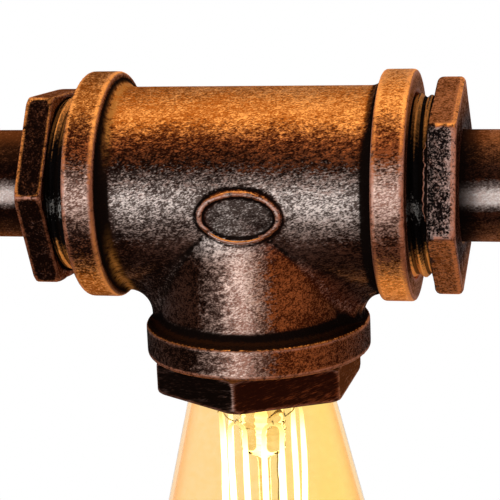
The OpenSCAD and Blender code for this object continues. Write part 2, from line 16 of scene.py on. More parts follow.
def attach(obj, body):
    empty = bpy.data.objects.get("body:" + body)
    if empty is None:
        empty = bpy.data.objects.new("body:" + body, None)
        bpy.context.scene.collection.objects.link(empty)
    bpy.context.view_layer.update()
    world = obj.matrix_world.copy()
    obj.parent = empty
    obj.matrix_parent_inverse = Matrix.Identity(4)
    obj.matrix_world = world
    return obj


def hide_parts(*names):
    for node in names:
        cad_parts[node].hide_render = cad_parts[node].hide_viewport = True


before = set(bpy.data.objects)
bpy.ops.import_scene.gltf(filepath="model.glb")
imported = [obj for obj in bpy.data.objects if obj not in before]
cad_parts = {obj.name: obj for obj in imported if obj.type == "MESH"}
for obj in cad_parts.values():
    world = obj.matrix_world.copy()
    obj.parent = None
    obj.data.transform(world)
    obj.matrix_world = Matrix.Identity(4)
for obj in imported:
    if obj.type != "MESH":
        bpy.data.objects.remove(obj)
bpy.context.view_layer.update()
MM = 0.001
RUN_Y = -110.0
TEE_CENTRE = Vector((0, RUN_Y, 0)) * MM

# %% [markdown]
# The photograph is a close-up from the right, a little above the pipe run. A long lens far away would
# flatten the fittings, so the camera stands near and keeps the perspective that the two collars show.
# Its three axes are worked out from the two viewing angles and a small roll.

# %% Camera
CAMERA_AT = Vector((0.07206, -0.44446, 0.07378))
TURN, RISE, ROLL = (math.radians(a) for a in (12.34, 14.25, -2.38))
LENS, SENSOR, NEAR, FAR = 129.58, 36, 0.01, 50


def in_scene(thing):
    """Links a new object to the scene."""
    bpy.context.scene.collection.objects.link(thing)
    return thing


back = Vector((math.sin(TURN) * math.cos(RISE), -math.cos(TURN) * math.cos(RISE), math.sin(RISE)))
right = Vector((math.cos(TURN), math.sin(TURN), 0))
up = back.cross(right)
right, up = (right * math.cos(ROLL) + up * math.sin(ROLL), up * math.cos(ROLL) - right * math.sin(ROLL))
camera = in_scene(bpy.data.objects.new("camera", bpy.data.cameras.new("camera")))
camera.data.lens, camera.data.sensor_width = LENS, SENSOR
camera.data.clip_start, camera.data.clip_end = NEAR, FAR
axes = Matrix((right, up, back)).transposed()
camera.matrix_world = Matrix.Translation(CAMERA_AT) @ axes.to_4x4()
bpy.context.scene.camera = camera
bpy.context.scene.view_settings.view_transform = "Standard"
print("camera to tee:", round((CAMERA_AT - TEE_CENTRE).length / MM), "mm")

# %% [markdown]
# Materials are written as sums. A Wire holds one output socket, and each operator adds a Math node,
# so a mask reads like the formula that a painter would explain. Any other node comes from one method.
# All finishes read a point's place on its own piece, so they move with it and need no unwrapping.


# %% Sums between sockets
def ramp_stops(ramp, stops):
    """Fills a colour ramp from (position, colour) pairs."""
    while len(ramp.elements) < len(stops):
        ramp.elements.new(1.0)
    for element, (position, colour) in zip(ramp.elements, stops):
        element.position, element.color = position, colour


class Wire:
    """One shader socket that takes part in Python sums."""

    def __init__(self, tree, socket=None):
        self.tree, self.socket = tree, socket

    def node(self, kind, settings=None, values=None, out=0):
        """A new node: its settings first, then its sockets as numbers or wires."""
        made = self.tree.nodes.new(kind)
        for name, value in (settings or {}).items():
            if name == "stops":
                ramp_stops(made.color_ramp, value)
            else:
                setattr(made, name, value)
        for name, value in (values or {}).items():
            if isinstance(value, Wire):
                self.tree.links.new(value.socket, made.inputs[name])
            else:
                made.inputs[name].default_value = value
        return Wire(self.tree, made.outputs[out] if len(made.outputs) else None)

    def sum(self, operation, *values):
        return self.node("ShaderNodeMath", {"operation": operation}, dict(enumerate(values)))

    def __add__(self, other):
        return self.sum("ADD", self, other)

    def __sub__(self, other):
        return self.sum("SUBTRACT", self, other)

    def __rsub__(self, other):
        return self.sum("SUBTRACT", other, self)

    def __mul__(self, other):
        return self.sum("MULTIPLY", self, other)

    def __neg__(self):
        return self * -1.0

    def __abs__(self):
        return self.sum("ABSOLUTE", self)

    __radd__, __rmul__ = __add__, __mul__


print("wires can be added, subtracted and multiplied")


# %% Masks, noises and finishes
def axis_of(vector, axis):
    """One part, X, Y or Z, of a place or a direction."""
    return vector.node("ShaderNodeSeparateXYZ", None, {0: vector}, out=axis)


def between(value, low, high):
    """0 below low, 1 above high, smooth in the middle."""
    return value.node("ShaderNodeMapRange", {"interpolation_type": "SMOOTHSTEP"},
                      {"Value": value, "From Min": low, "From Max": high})


def bell(value, centre, width):
    """1 at the centre, falling off to both sides."""
    off = (value - centre) * (1 / width)
    return value.sum("EXPONENT", -(off * off))


def mix(amount, first, second):
    """A colour between two colours."""
    return amount.node("ShaderNodeMix", {"data_type": "RGBA"}, {0: amount, 6: first, 7: second}, out=2)


def cloud(place, scale, detail=2.0, rough=0.55):
    """A soft noise between 0 and 1; scale is a count per metre, or three of them to stretch it."""
    counts = scale if isinstance(scale, (list, tuple)) else (scale,) * 3
    stretched = place.node("ShaderNodeVectorMath", {"operation": "MULTIPLY"}, {0: place, 1: counts})
    return place.node("ShaderNodeTexNoise", None,
                      {"Vector": stretched, "Scale": 1.0, "Detail": detail, "Roughness": rough})


def shader_of(finish):
    return finish.node_tree.nodes["Principled BSDF"]


def new_finish(name, **fixed):
    """A material and the wire of a point's place in metres; fixed numbers go on the shader's sockets."""
    finish = bpy.data.materials.new(name)
    finish.use_nodes = True
    for socket, value in fixed.items():
        shader_of(finish).inputs[socket.replace("_", " ")].default_value = value
    return finish, Wire(finish.node_tree).node("ShaderNodeTexCoord", out="Object")


def lay_on(finish, **wires):
    """Links wires to the sockets of a finish."""
    for socket, wire in wires.items():
        finish.node_tree.links.new(wire.socket, shader_of(finish).inputs[socket.replace("_", " ")])


def grained(height, depth, strength):
    """A bump from a height wire; depth is in metres."""
    return height.node("ShaderNodeBump", None, {"Height": height, "Distance": depth, "Strength": strength})


print("ready to write finishes")

# %% [markdown]
# The fittings are cast iron, painted black and then dry-brushed with copper. A nearly empty brush only
# catches what stands up: it leaves copper on the upper side, warm edges on the collars, and nothing in
# the grooves. The shades by slope also paint light: the orange on the upper side is partly that copper
# and partly painted top light, the pale front is a painted sheen, the reflection of a front lamp, the
# dark band between them is painted shade, and the warm undersides are a painted glow from below. One
# colour could not show that. So a few paints lie over each other in strokes. A stroke has a reach, four
# slopes in degrees from straight down to straight up: where it starts, is full, begins to fade and ends.
# A paint has a shade for the hollows and one for the tips of the brushed grain, as red, green and blue
# from 0 to 255. The outlet hangs down, so its strokes go by the turn from left to right: a painted sheen
# in front, warm painted light on the right and painted shade on the left.

# %% Paints
BLACK = (14, 6, 4), (60, 35, 25)
BROWN_BLACK = (20, 8, 5), (100, 58, 40)
BROWN = (55, 30, 16), (158, 98, 56)
RED_BROWN = (60, 22, 8), (145, 75, 38)
ROSE_BROWN = (56, 30, 18), (195, 132, 102)
DULL_COPPER = (95, 48, 20), (160, 92, 48)
COPPER = (185, 94, 27), (255, 165, 82)
# The next four pale paints are painted sheen: the reflection of a front lamp on the copper grain.
GREY_SHEEN = (10, 10, 11), (182, 154, 146)
FRONT_SHEEN = (92, 78, 73), (255, 242, 236)
ROSE_SHEEN = (170, 122, 106), (255, 224, 211)
WHITE_SHEEN = (220, 198, 192), (255, 250, 248)
# Single shades: bare iron; a dark ground and a painted golden highlight for the left collar's root; a painted
# glint on the thread; rubbed copper, a duller edge shade for the painted shade below the sheen, a bright
# copper that also serves as the painted golden reflection on the thread, and a pale edge shade that is
# painted sheen.
IRON, ROOT_DARK = ((14, 11, 11),), ((44, 26, 15),)
ROOT_HIGHLIGHT, THREAD_GLINT = ((180, 115, 50),), ((140, 137, 134),)
DULL_EDGE, RUBBED, BRIGHT = ((130, 74, 50),), ((184, 104, 54),), ((252, 160, 78),)
SHEEN_EDGE = ((178, 114, 90),)
DOWN, UP = -90, 90
print("copper in the hollows and on the tips:", *COPPER)

# %% Strokes by slope
# By slope these strokes paint light as well as copper: orange on top is partly brushed copper and partly
# painted top light, the pale front is painted sheen, the dark band between is painted shade, and the warm
# underside is a painted glow from below.
CAST_STROKES = (BLACK, (BROWN, -300, DOWN, -60, -42), (FRONT_SHEEN, -22, 0, 4, 22), (RED_BROWN, 22, 38, 44, 60),
                (COPPER, 36, 50, 60, 150))
COLLAR_STROKES = (BROWN_BLACK, (COPPER, -200, -60, -43, -24), (ROSE_SHEEN, -16, 3, 8, 26),
                  (RED_BROWN, 18, 32, 40, 60), (COPPER, 34, 50, 60, 150))
PIPE_STROKES = (BLACK, (DULL_COPPER, -300, DOWN, -66, -24), (WHITE_SHEEN, -15, -5, 4, 18),
                (DULL_COPPER, 30, 76, UP, 300))
HEX_STROKES = (BLACK, (DULL_COPPER, -300, DOWN, -46, -35), (GREY_SHEEN, -24, -6, 14, 25),
               (DULL_COPPER, 34, 72, UP, 300))
FLANGE_STROKES = (BROWN_BLACK, (BROWN, -300, DOWN, -88, -34), (ROSE_BROWN, -22, 0, 2, 24),
                  (COPPER, 16, 58, 60, 150))
OUTLET_STROKES = (BLACK, (RED_BROWN, 4, 22, 36, 110), (ROSE_SHEEN, -22, 2, 4, 20))
# Rubbed edges are real wear, but their shades by slope are painted light: bright on top, sheen in front,
# duller below. On the bare thread the gold above and below is a painted reflection and the grey stroke a
# painted glint. The gold at the left collar's root is a painted highlight.
RUBBED_STROKES = (RUBBED, (DULL_EDGE, -50, -22, -18, 4), (SHEEN_EDGE, -18, 0, 14, 30), (BRIGHT, 24, 47, 50, 92))
NECK_STROKES = (IRON, (BRIGHT, -135, -60, -38, -24), (THREAD_GLINT, -6, -3.5, -2.5, 2), (BRIGHT, 28, 53, 56, 88))
ROOT_HIGHLIGHT_STROKES = (ROOT_DARK, (ROOT_HIGHLIGHT, -300, DOWN, -40, 0), (ROOT_HIGHLIGHT, 20, 44, UP, 300))
RIM_STROKES = (DULL_EDGE, (BRIGHT, -300, DOWN, -54, 4), (BRIGHT, 12, 45, 70, 150))
print("strokes on the castings:", len(CAST_STROKES) - 1)


# %% Ramps from strokes
HOLLOW, TIP = 0, -1
FILL = {HOLLOW: 1.5, TIP: 0.8}


def paint(*screen):
    """A screen colour as the linear colour that a shader takes."""
    linear = [((v / 255 + 0.055) / 1.055) ** 2.4 if v > 10 else v / 255 / 12.92 for v in screen]
    return (*linear, 1)


def shade_at(degrees, strokes, tone):
    """The screen colour at one slope, each stroke over the ones before; tips fill sooner than hollows."""
    ground, *over = strokes
    shade = np.array(ground[tone], dtype=float)
    for paints, *reach in over:
        amount = np.interp(degrees, reach, (0, 1, 1, 0)) ** FILL[tone]
        shade += (np.array(paints[tone]) - shade) * amount
    return shade


def by_slope(slope, strokes, tone=TIP):
    """A colour ramp from strokes, with stops at the bends of their reaches and halfway between."""
    bends = sorted({DOWN, UP} | {d for _, *reach in strokes[1:] for d in reach if DOWN < d < UP})
    halfway = [(a + b) / 2 for a, b in zip(bends, bends[1:])]
    stops = [(0.5 + 0.5 * math.sin(math.radians(d)), paint(*shade_at(d, strokes, tone)))
             for d in sorted(bends + halfway)]
    return slope.node("ShaderNodeValToRGB", {"stops": stops}, {"Fac": slope})


def hollow_and_tip(slope, strokes):
    """The ramps of both shades."""
    return by_slope(slope, strokes, HOLLOW), by_slope(slope, strokes, TIP)


def mix_both(amount, first, second):
    """Two pairs of shades mixed, hollow with hollow and tip with tip."""
    return [mix(amount, a, b) for a, b in zip(first, second)]


PITCH_BLACK = paint(15, 9, 7)
# Painted light by side: faces turned right get warm painted light, faces turned left painted shade, and end
# faces near the axis painted shade; the warm ends are their plain colour.
LEFT_SHADOW_SHADES = paint(16, 8, 5), paint(62, 39, 31)
RIGHT_LIT_SHADES = paint(52, 17, 5), paint(124, 58, 30)
SHADED_ENDS = paint(20, 7, 4), paint(70, 32, 18)
WARM_ENDS = paint(92, 48, 23), paint(178, 106, 60)
print("darkest shade:", [round(v, 4) for v in PITCH_BLACK])

# %% [markdown]
# One function makes the copper of every fitting, so that they look brushed by the same hand. A fine
# slanted noise goes from the hollow to the tip shade, and a sum of named masks says where more or less
# copper shows, with painted light and shade among them. Six numbers that each mesh carries for its
# points mark worn edges, grooves and painted shade, the collars, the bare thread, the painted golden
# highlight at the left collar's root and its rubbed rim.

# %% Copper brushed over black
BRUSH_SLANT = math.radians(17)
PATCHES = 120
GRAIN_DEPTH = 0.00018
MARKS = "wear", "groove", "collar", "neck", "gilt", "rim"


def brushed_copper(name, strokes, grain, ends=None, more=0.0, edge=0.6, dark=0.0, contrast=3.2,
                   jitter=0.12, outlet=False):
    """Black paint with copper brushed over it, with light and shade painted by slope and side. More adds
    copper, edge rubs the edges, dark darkens the flats, contrast sharpens the grain, jitter roughens the
    slope, and outlet paints the hanging branch by its turn: a sheen in front, warm light on the right
    and shade on the left."""
    finish, place = new_finish(name, Specular_IOR_Level=0.0)
    facing = place.node("ShaderNodeTexCoord", out="Normal")
    side, rise = axis_of(facing, "X"), axis_of(facing, "Z")
    along, height = axis_of(place, "X"), axis_of(place, "Z")
    wear, groove, collar, neck, gilt, rim = (
        place.node("ShaderNodeAttribute", {"attribute_name": mark}, out="Fac") for mark in MARKS)

    # Grain of the brush
    slanted = place.node("ShaderNodeVectorRotate", {"rotation_type": "Y_AXIS"},
                         {"Vector": place, "Angle": BRUSH_SLANT})
    fine = cloud(slanted, grain, 3.0, 0.6)
    dabs = cloud(slanted, [g * 0.3 for g in grain])
    relief = cloud(place, [g * 0.75 for g in grain])
    patch = cloud(place, PATCHES) - 0.5

    # How much copper shows: wear adds it, grooves take it away, and painted light and shade shift it:
    # lighter to the right, a brighter painted sheen front left and under the oval, darker low and far left
    leftward, far_left = between(-along, 0.0, 0.02), between(-along, 0.028, 0.036)
    rightward = between(along, -0.03, 0.03)
    front_left, low_left = leftward * bell(rise, 0.05, 0.16), leftward * bell(rise, -0.3, 0.14)
    under_oval = bell(along, -0.004, 0.008) * bell(height, -0.008, 0.004)
    level = more + wear * 0.3 - groove * 0.4 + rightward * 0.16 + patch * 0.5
    level += front_left * 0.14 - low_left * 0.12 + under_oval * 0.2 - far_left * 0.12
    tip = between((fine * 0.66 + dabs * 0.34 - 0.5) * contrast + 0.34 + level, 0.16, 0.84)

    # Shades by slope, then by side; both carry painted light: a sheen in front, warm light to the right,
    # shade to the left and on the end faces near the axis
    slope = (rise + (patch + dabs - 0.5 + (relief - 0.5) * 3.6) * jitter) * 0.5 + 0.5
    leaning = side + (dabs - 0.5) * 0.3 + (relief - 0.5) * 0.3
    front = bell(rise, 0.0, 0.42)
    to_right, to_left = between(leaning, -0.16, 0.5) * front, between(-leaning, 0.1, 0.56) * front
    to_end = between(side, 0.7, 0.95)
    outer = between(abs(height), 0.011, 0.018)
    shades = mix_both(collar, hollow_and_tip(slope, strokes), hollow_and_tip(slope, COLLAR_STROKES))
    shades = mix_both(to_right, shades, RIGHT_LIT_SHADES)
    shades = mix_both(to_left, shades, LEFT_SHADOW_SHADES)
    shades = mix_both(to_end, shades, ends or mix_both(outer, SHADED_ENDS, WARM_ENDS))
    if outlet:
        inside, lowest = 1.0 - between(abs(along), 0.012, 0.022), between(-height, 0.018, 0.024)
        hanging = between(-height, 0.004, 0.012) * bell(rise, 0.0, 0.26)
        hanging = hanging * inside.sum("MAXIMUM", inside, lowest)
        shades = mix_both(hanging, shades, hollow_and_tip(leaning * 0.5 + 0.5, OUTLET_STROKES))
    hollow, bright = shades
    dimmed = collar * leftward
    hollow = mix(dimmed * 0.45, hollow, PITCH_BLACK)
    bright = mix(dimmed * 0.12, bright, LEFT_SHADOW_SHADES[1])
    if dark:
        hollow = mix((1.0 - to_end) * dark, hollow, PITCH_BLACK)

    # Grooves go black, unbrushed and in painted shade; the bare thread gets painted reflections, a glint
    # and painted shade in its roots; edges are rubbed bright
    neck_shade = between(groove, 0.15, 0.6) * 0.8 + between(along, 0.03, 0.034) * between(rise, 0.2, 0.6) * 0.56
    broken = between(fine * 0.5 + dabs * 0.5, 0.34, 0.56)
    rubbed = between(wear, 0.4, 0.95) * broken * edge * (1.0 - neck)
    shade = mix(tip, hollow, bright)
    for amount, laid in (
        (between(groove, 0.3, 0.75) * 0.97, PITCH_BLACK),
        (gilt * between(dabs, 0.25, 0.6), by_slope(slope, ROOT_HIGHLIGHT_STROKES)),
        (neck, by_slope(slope, NECK_STROKES)),
        (neck * neck_shade, PITCH_BLACK),
        (rubbed, by_slope(slope, RUBBED_STROKES)),
        (rim * between(dabs, 0.2, 0.5), by_slope(slope, RIM_STROKES)),
    ):
        shade = mix(amount, shade, laid)
    lay_on(finish, Base_Color=shade, Metallic=tip * 0.3, Roughness=0.52 - tip * 0.1,
           Normal=grained(tip * 0.4 + relief, GRAIN_DEPTH, 0.8))
    return finish


print("ready to brush", len(MARKS), "marks")

# %% [markdown]
# The castings were brushed along the run, the side hexagons all ways, and the lamp hexagon in fine level
# lines. So five finishes differ in their grain, counted per metre, and in how much copper they took.

# %% Five coppers
RUN_GRAIN, ROUND_GRAIN = (2100, 4100, 4100), (2700, 2700, 2700)
LINED_GRAIN, PIPE_GRAIN = (700, 700, 5200), (2600, 4200, 4200)
cast_copper = brushed_copper("copper_on_cast_iron", CAST_STROKES, RUN_GRAIN, edge=0.7, contrast=3.4,
                             outlet=True)
side_hex = brushed_copper("copper_on_side_hexagons", HEX_STROKES, ROUND_GRAIN, edge=0.8, contrast=4.0)
lamp_hex = brushed_copper("copper_on_lamp_hexagon", HEX_STROKES, LINED_GRAIN, WARM_ENDS,
                          more=-0.3, edge=0.2, dark=0.45, contrast=2.2)
pipe_copper = brushed_copper("copper_on_pipe", PIPE_STROKES, PIPE_GRAIN, contrast=2.4, jitter=0.04)
flange_copper = brushed_copper("copper_on_flanges", FLANGE_STROKES, ROUND_GRAIN, WARM_ENDS)
print("finishes:", [f.name for f in (cast_copper, side_hex, lamp_hex, pipe_copper, flange_copper)])

# %% [markdown]
# Wear and the dark grooves follow the shape: a brush or a hand rubs the edges and never reaches the
# grooves, which stay black and are also painted with shade. How sharply the normals turn along each
# mesh edge says which is which, so it is measured once for every casting and kept as two point
# attributes that the finish reads.

# %% Measure edges and grooves
EDGE_FROM, GROOVE_FROM = 0.06, 0.04


def points_of(piece):
    """Places in millimetres and normals of all points of a piece."""
    mesh = piece.data
    places, normals = np.zeros((2, len(mesh.vertices) * 3))
    mesh.vertices.foreach_get("co", places)
    mesh.vertex_normals.foreach_get("vector", normals)
    return places.reshape(-1, 3) / MM, normals.reshape(-1, 3)


def mark(piece, name, values):
    """A number for every point, added to what is there and kept from 0 to 1."""
    attributes = piece.data.attributes
    layer = attributes.get(name) or attributes.new(name, "FLOAT", "POINT")
    kept = np.zeros(len(layer.data), dtype=np.float32)
    layer.data.foreach_get("value", kept)
    layer.data.foreach_set("value", np.clip(kept + values, 0, 1).astype(np.float32))


def note_wear(piece, spread, sharp=0.30, hollow=0.22):
    """Writes the attributes wear and groove from the bend of the surface, in bends per millimetre."""
    places, normals = points_of(piece)
    count = len(places)
    ends = np.zeros(len(piece.data.edges) * 2, dtype=np.int64)
    piece.data.edges.foreach_get("vertices", ends)
    a, b = ends.reshape(-1, 2).T
    step = places[b] - places[a]
    bend = ((normals[b] - normals[a]) * step).sum(1) / np.maximum((step ** 2).sum(1), 1e-6)
    share = np.bincount(a, minlength=count) + np.bincount(b, minlength=count)

    def average(at_a, at_b):
        return (np.bincount(a, at_a, count) + np.bincount(b, at_b, count)) / np.maximum(share, 1)

    level = average(bend, bend)
    for _ in range(spread):
        level = 0.5 * level + 0.5 * average(level[b], level[a])
    mark(piece, "wear", (level - EDGE_FROM) / sharp)
    mark(piece, "groove", (-level - GROOVE_FROM) / hollow)
    return int((level > sharp).sum())


print("ready to measure wear")


# %% Put a piece on its body
def dress(piece, finish):
    """Gives a piece one finish."""
    piece.data.materials.clear()
    piece.data.materials.append(finish)


def put(piece, body, finish, slot, *nodes):
    """Gives a piece its finish and its body, and hides the solids it stands for."""
    dress(piece, finish)
    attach(piece, body)
    if nodes:
        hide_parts(*nodes)
    print(piece.name, len(piece.data.vertices), "points")


# %% [markdown]
# A sand casting has no sharp corner, and its run and outlet flow into each other. Modelling those
# blends by hand takes many loops. A copy of the exact solid is remeshed into small even quads and
# relaxed a little instead, which rounds every edge as the sand mould did.


# %% Cast skins
def add_mesh(name, mesh):
    """A smooth-shaded object from a mesh."""
    mesh.polygons.foreach_set("use_smooth", np.ones(len(mesh.polygons), dtype=bool))
    return in_scene(bpy.data.objects.new(name, mesh))


def cast_skin(name, node, voxel, passes):
    """A softened copy of a solid: voxel size in millimetres, then a few relaxing passes."""
    rough = in_scene(bpy.data.objects.new(name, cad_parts[node].data.copy()))
    remesh = rough.modifiers.new("sand", "REMESH")
    remesh.mode, remesh.voxel_size, remesh.adaptivity = "VOXEL", voxel * MM, 0
    relax = rough.modifiers.new("relax", "SMOOTH")
    relax.factor, relax.iterations = 0.5, passes
    ready = rough.evaluated_get(bpy.context.evaluated_depsgraph_get())
    mesh = bpy.data.meshes.new_from_object(ready)
    bpy.data.objects.remove(rough)
    mesh.name = name
    return add_mesh(name, mesh)


tee = cast_skin("tee_casting", "tee", 0.4, 3)
print("tee:", note_wear(tee, 3), "points on worn edges")

# %% [markdown]
# Some marks follow no bend: the surface is darkened round and inside the raised oval, painted shade
# lies beside each collar, on the shelf of the lower band and on the outlet above it, the lower band is
# darker on its left, and the left collar has a rubbed bright rim with a painted golden highlight at its
# root. These are soft hills over the distance from each place, in millimetres.

# %% Marks on the tee
BAND_R, BAND_FROM_X, BAND_FROM_Z = 22.15, 25.9, -26.7
OVAL_L, OVAL_H, OVAL_X, OVAL_Z = 15.8, 10.0, 1.1, -2.1


def hill(distance, width):
    """1 where the distance is 0, falling off smoothly."""
    return np.exp(-(distance / width) ** 2)


places, normals = points_of(tee)
(x, y, z), facing_up = places.T, normals[:, 2]
# Darker round the raised oval's bead and inside it
reach = np.hypot((x - OVAL_X) / OVAL_L, (z - OVAL_Z) / OVAL_H) * 2
from_oval = np.hypot(x - OVAL_X, z - OVAL_Z) * (1 - 1 / np.maximum(reach, 0.1))
oval_darkening = 0.75 * hill(from_oval - 0.5, 0.4) + 0.6 * hill(from_oval + 1.0, 0.3) + 0.5 * (reach < 0.88)
mark(tee, "groove", -1.0 * (reach < 1.15) * (y < RUN_Y))
mark(tee, "groove", oval_darkening * (y < RUN_Y))

beside = BAND_FROM_X - np.abs(x)
mark(tee, "collar", beside < 0)
# Painted shade beside each collar, less on upward faces
mark(tee, "groove", 0.5 * hill(beside, 2.8) * np.clip(1.3 - 2 * facing_up, 0, 1) * (beside > 0))
# Painted golden highlight at the left collar's root, where the black is taken back
root = hill(beside - 1.3, 0.8) * (x < 0) * np.clip(2.2 * np.abs(facing_up) - 0.35, 0, 1)
mark(tee, "gilt", root)
mark(tee, "groove", -0.9 * root)
from_rim = np.hypot(beside + 0.3, np.hypot(y - RUN_Y, z) - BAND_R + 0.2)
mark(tee, "rim", hill(from_rim, 0.4) * (x < 0))

# Painted shade on the shelf of the lower band and on the outlet just above it, deeper to the right; the lower
# band is darker on its left
above = z - BAND_FROM_Z
to_right = np.clip((x - 4) / 10, 0, 1)
shelf = (above < 3) * (facing_up > 0.72)
mark(tee, "groove", 0.34 * (above < 0) * (1 - to_right) + 0.7 * shelf)
mark(tee, "wear", -0.3 * (np.abs(above) < 1.2) - 1.0 * shelf)
dusk = (0.3 + 0.3 * to_right) * hill(above, 2.0 + 2.0 * to_right)
mark(tee, "groove", dusk * (above > 0) * (beside > 1))
put(tee, "lamp_head", cast_copper, "iron", "tee")

# %% [markdown]
# The turned, threaded and swept pieces are rows of rings of points, with quads between the rings.
# Modifiers could bend ready-made shapes, but a ring can follow any thread or wave exactly.


# %% Skin over rings
def round_turns(count):
    """Angles once round a circle."""
    return np.linspace(0, 2 * math.pi, count, endpoint=False)


def skin(name, rings, joined=False):
    """Quads over rings of points in millimetres; joined closes the last ring to the first."""
    rings = np.asarray(rings, dtype=float)
    count, around = rings.shape[:2]
    index = np.arange(count * around).reshape(count, around)
    if joined:
        index = np.vstack([index, index[:1]])
    here, there = index[:-1], index[1:]
    quads = np.stack([here, np.roll(here, -1, 1), np.roll(there, -1, 1), there], -1).reshape(-1, 4)
    points = rings.reshape(-1, 3) * MM
    p, q, r, s = points[quads.T]
    if (p * (np.cross(q, r) + np.cross(r, s))).sum() < 0:
        quads = quads[:, [0, 3, 2, 1]]
    mesh = bpy.data.meshes.new(name)
    mesh.from_pydata(points.tolist(), [], quads.tolist())
    return add_mesh(name, mesh)


print("ready to skin rings")

# %% [markdown]
# The pattern maker cut a raised oval into the front of the tee. It is a thin round bead that lies on
# the curved body, so its rings follow the cylinder.

# %% Oval bead
BODY_R, BEAD_R, BEAD_LIFT = 19.1, 0.33, 0.15
BEAD_INSET = 0.8 * BEAD_R
rings = []
for turn in round_turns(120):
    outward = np.array([OVAL_H * math.cos(turn), 0, OVAL_L * math.sin(turn)])
    outward /= np.linalg.norm(outward)
    ring = []
    for k in round_turns(12):
        px = OVAL_X + (OVAL_L / 2 - BEAD_INSET) * math.cos(turn) + outward[0] * BEAD_R * math.cos(k)
        pz = OVAL_Z + (OVAL_H / 2 - BEAD_INSET) * math.sin(turn) + outward[2] * BEAD_R * math.cos(k)
        shallow = min(abs(px), abs(pz)) if pz < 0 else pz
        lift = math.sqrt(BODY_R ** 2 - shallow ** 2) + BEAD_LIFT + BEAD_R * math.sin(k)
        ring.append((px, RUN_Y - lift, pz))
    rings.append(ring)
oval_bead = skin("oval_bead", rings, joined=True)
note_wear(oval_bead, 1, sharp=0.9)
put(oval_bead, "lamp_head", cast_copper, "iron")

# %% [markdown]
# The bushings are turned and threaded on a lathe, and only the hexagon is left from the casting.
# One closed profile goes round the axis, and its radius may change with the angle: a soft maximum of
# six flats gives the hexagon with slightly rounded corners, and a slanted wave gives the screw thread.

# %% Hexagon and flash
ROUND, CORNER_POWER = 360, 190
ANGLES = round_turns(ROUND)
dice = np.random.default_rng(7)


def hexagon(flats, corner_at):
    """Radius of a hexagon at every angle, with its corners a little rounded."""
    middles = math.radians(corner_at + 30) + np.arange(6) * math.pi / 3
    facing = np.clip(np.cos(ANGLES[:, None] - middles[None, :]), 0.01, 1)
    return flats / 2 / (facing ** CORNER_POWER).sum(1) ** (1 / CORNER_POWER)


def ragged(count, size):
    """A closed row of small random bumps, smoothed so that no two neighbours jump."""
    row = dice.normal(0, 1, count)
    for _ in range(5):
        row = (np.roll(row, 1) + row + np.roll(row, -1)) / 3
    return size * row / np.abs(row).max()


print("corners rounded to", round(hexagon(1, 0).max() / (1 / math.sqrt(3)), 3), "of a sharp hexagon")

# %% Bushing profile
THREAD_PITCH, THREAD_CREST, THREAD_ROOT, THREAD_STEP = 2.309, 17.52, 16.75, 0.12
EDGE_R, CHAMFER, CHAMFER_ANGLE, MOUTH = 0.3, 0.7, math.radians(30), 0.5
QUARTER = np.radians(np.linspace(0, 90, 5))


def soft_min(a, b, blend=0.2):
    return 0.5 * (a + b - np.sqrt((a - b) ** 2 + blend ** 2))


def all_round(pairs):
    """Profile rows from (distance, radius) pairs."""
    return [(s, np.full(ROUND, r)) for s, r in pairs]


def thread_rows(start, end):
    """Rows of a screw thread that fades out before its end."""
    rows = []
    for s in np.arange(start, end - 0.05, THREAD_STEP):
        wave = np.abs(((s / THREAD_PITCH - ANGLES / (2 * math.pi)) % 1.0) * 2 - 1)
        ridge = (THREAD_CREST - THREAD_ROOT) * np.clip(1.25 * wave - 0.12, 0, 1)
        rows.append((s, THREAD_ROOT + ridge * np.clip((end - s - 0.3) / 0.9, 0, 1)))
    return rows


def bushing_profile(thread_from, tee_end, hex_in, hex_out, outline, bore, flash):
    """Closed list of (distance along the axis, radius at every angle)."""
    lip = ragged(ROUND, flash)
    fillet, sink = EDGE_R * (1 - np.sin(QUARTER)), EDGE_R * (1 - np.cos(QUARTER))
    rows = [(hex_in, THREAD_ROOT + (outline - EDGE_R - THREAD_ROOT) * share)
            for share in np.linspace(0.1, 0.9, 6)]
    rows += [(hex_in + deep, outline - less + lip) for deep, less in zip(sink, fillet)]
    rows += [(s, outline + lip * max(0.0, 1 - (s - hex_in) / 1.2))
             for s in np.linspace(hex_in + EDGE_R, hex_out - EDGE_R, 12)[1:-1]]
    rows += [(hex_out - deep, outline - less) for deep, less in zip(sink[::-1], fillet[::-1])]
    cone, steep = outline.max() - CHAMFER, 1 / math.tan(CHAMFER_ANGLE)
    rows = [(s, soft_min(r, cone + steep * np.minimum(s - hex_in, hex_out - s))) for s, r in rows]
    face, mouth = rows[-1][1], bore[0][1] + MOUTH
    rows += [(hex_out, face + (mouth - face) * share) for share in np.linspace(0.1, 1.0, 7)]
    neck = all_round([(thread_from, THREAD_CREST), (tee_end - 1.2, THREAD_CREST)])
    return neck + thread_rows(tee_end - 1.0, hex_in) + rows + all_round(bore)


print("thread:", round(THREAD_CREST - THREAD_ROOT, 2), "mm deep")

# %% [markdown]
# The two side bushings differ in the turn of their hexagon, their flash and their wear. A row for each
# holds these values, so that one loop makes both. The right hexagon's front flat is darkened, most of
# all near the thread.

# %% Side bushings
THREAD_FROM, TEE_END, WIRE_WAY_R, SOCKET_R, SOCKET_L = 21.1, 32.1, 7.5, 10.7, 14.3
SIDE_FLATS, SIDE_HEX_T, RIGHT_CORNER = 36.0, 5.2, 15.6


def turned(name, rows, place):
    """A closed piece from profile rows; place puts (distance, radius, angle) into space."""
    return skin(name, [np.stack(place(s, r, ANGLES), -1) for s, r in rows], joined=True)


def along_left(s, r, a):
    return np.full(ROUND, -s), RUN_Y + r * np.cos(a), r * np.sin(a)


def along_right(s, r, a):
    return along_left(-s, r, a)


def downwards(s, r, a):
    return r * np.cos(a), RUN_Y + r * np.sin(a), np.full(ROUND, -s)


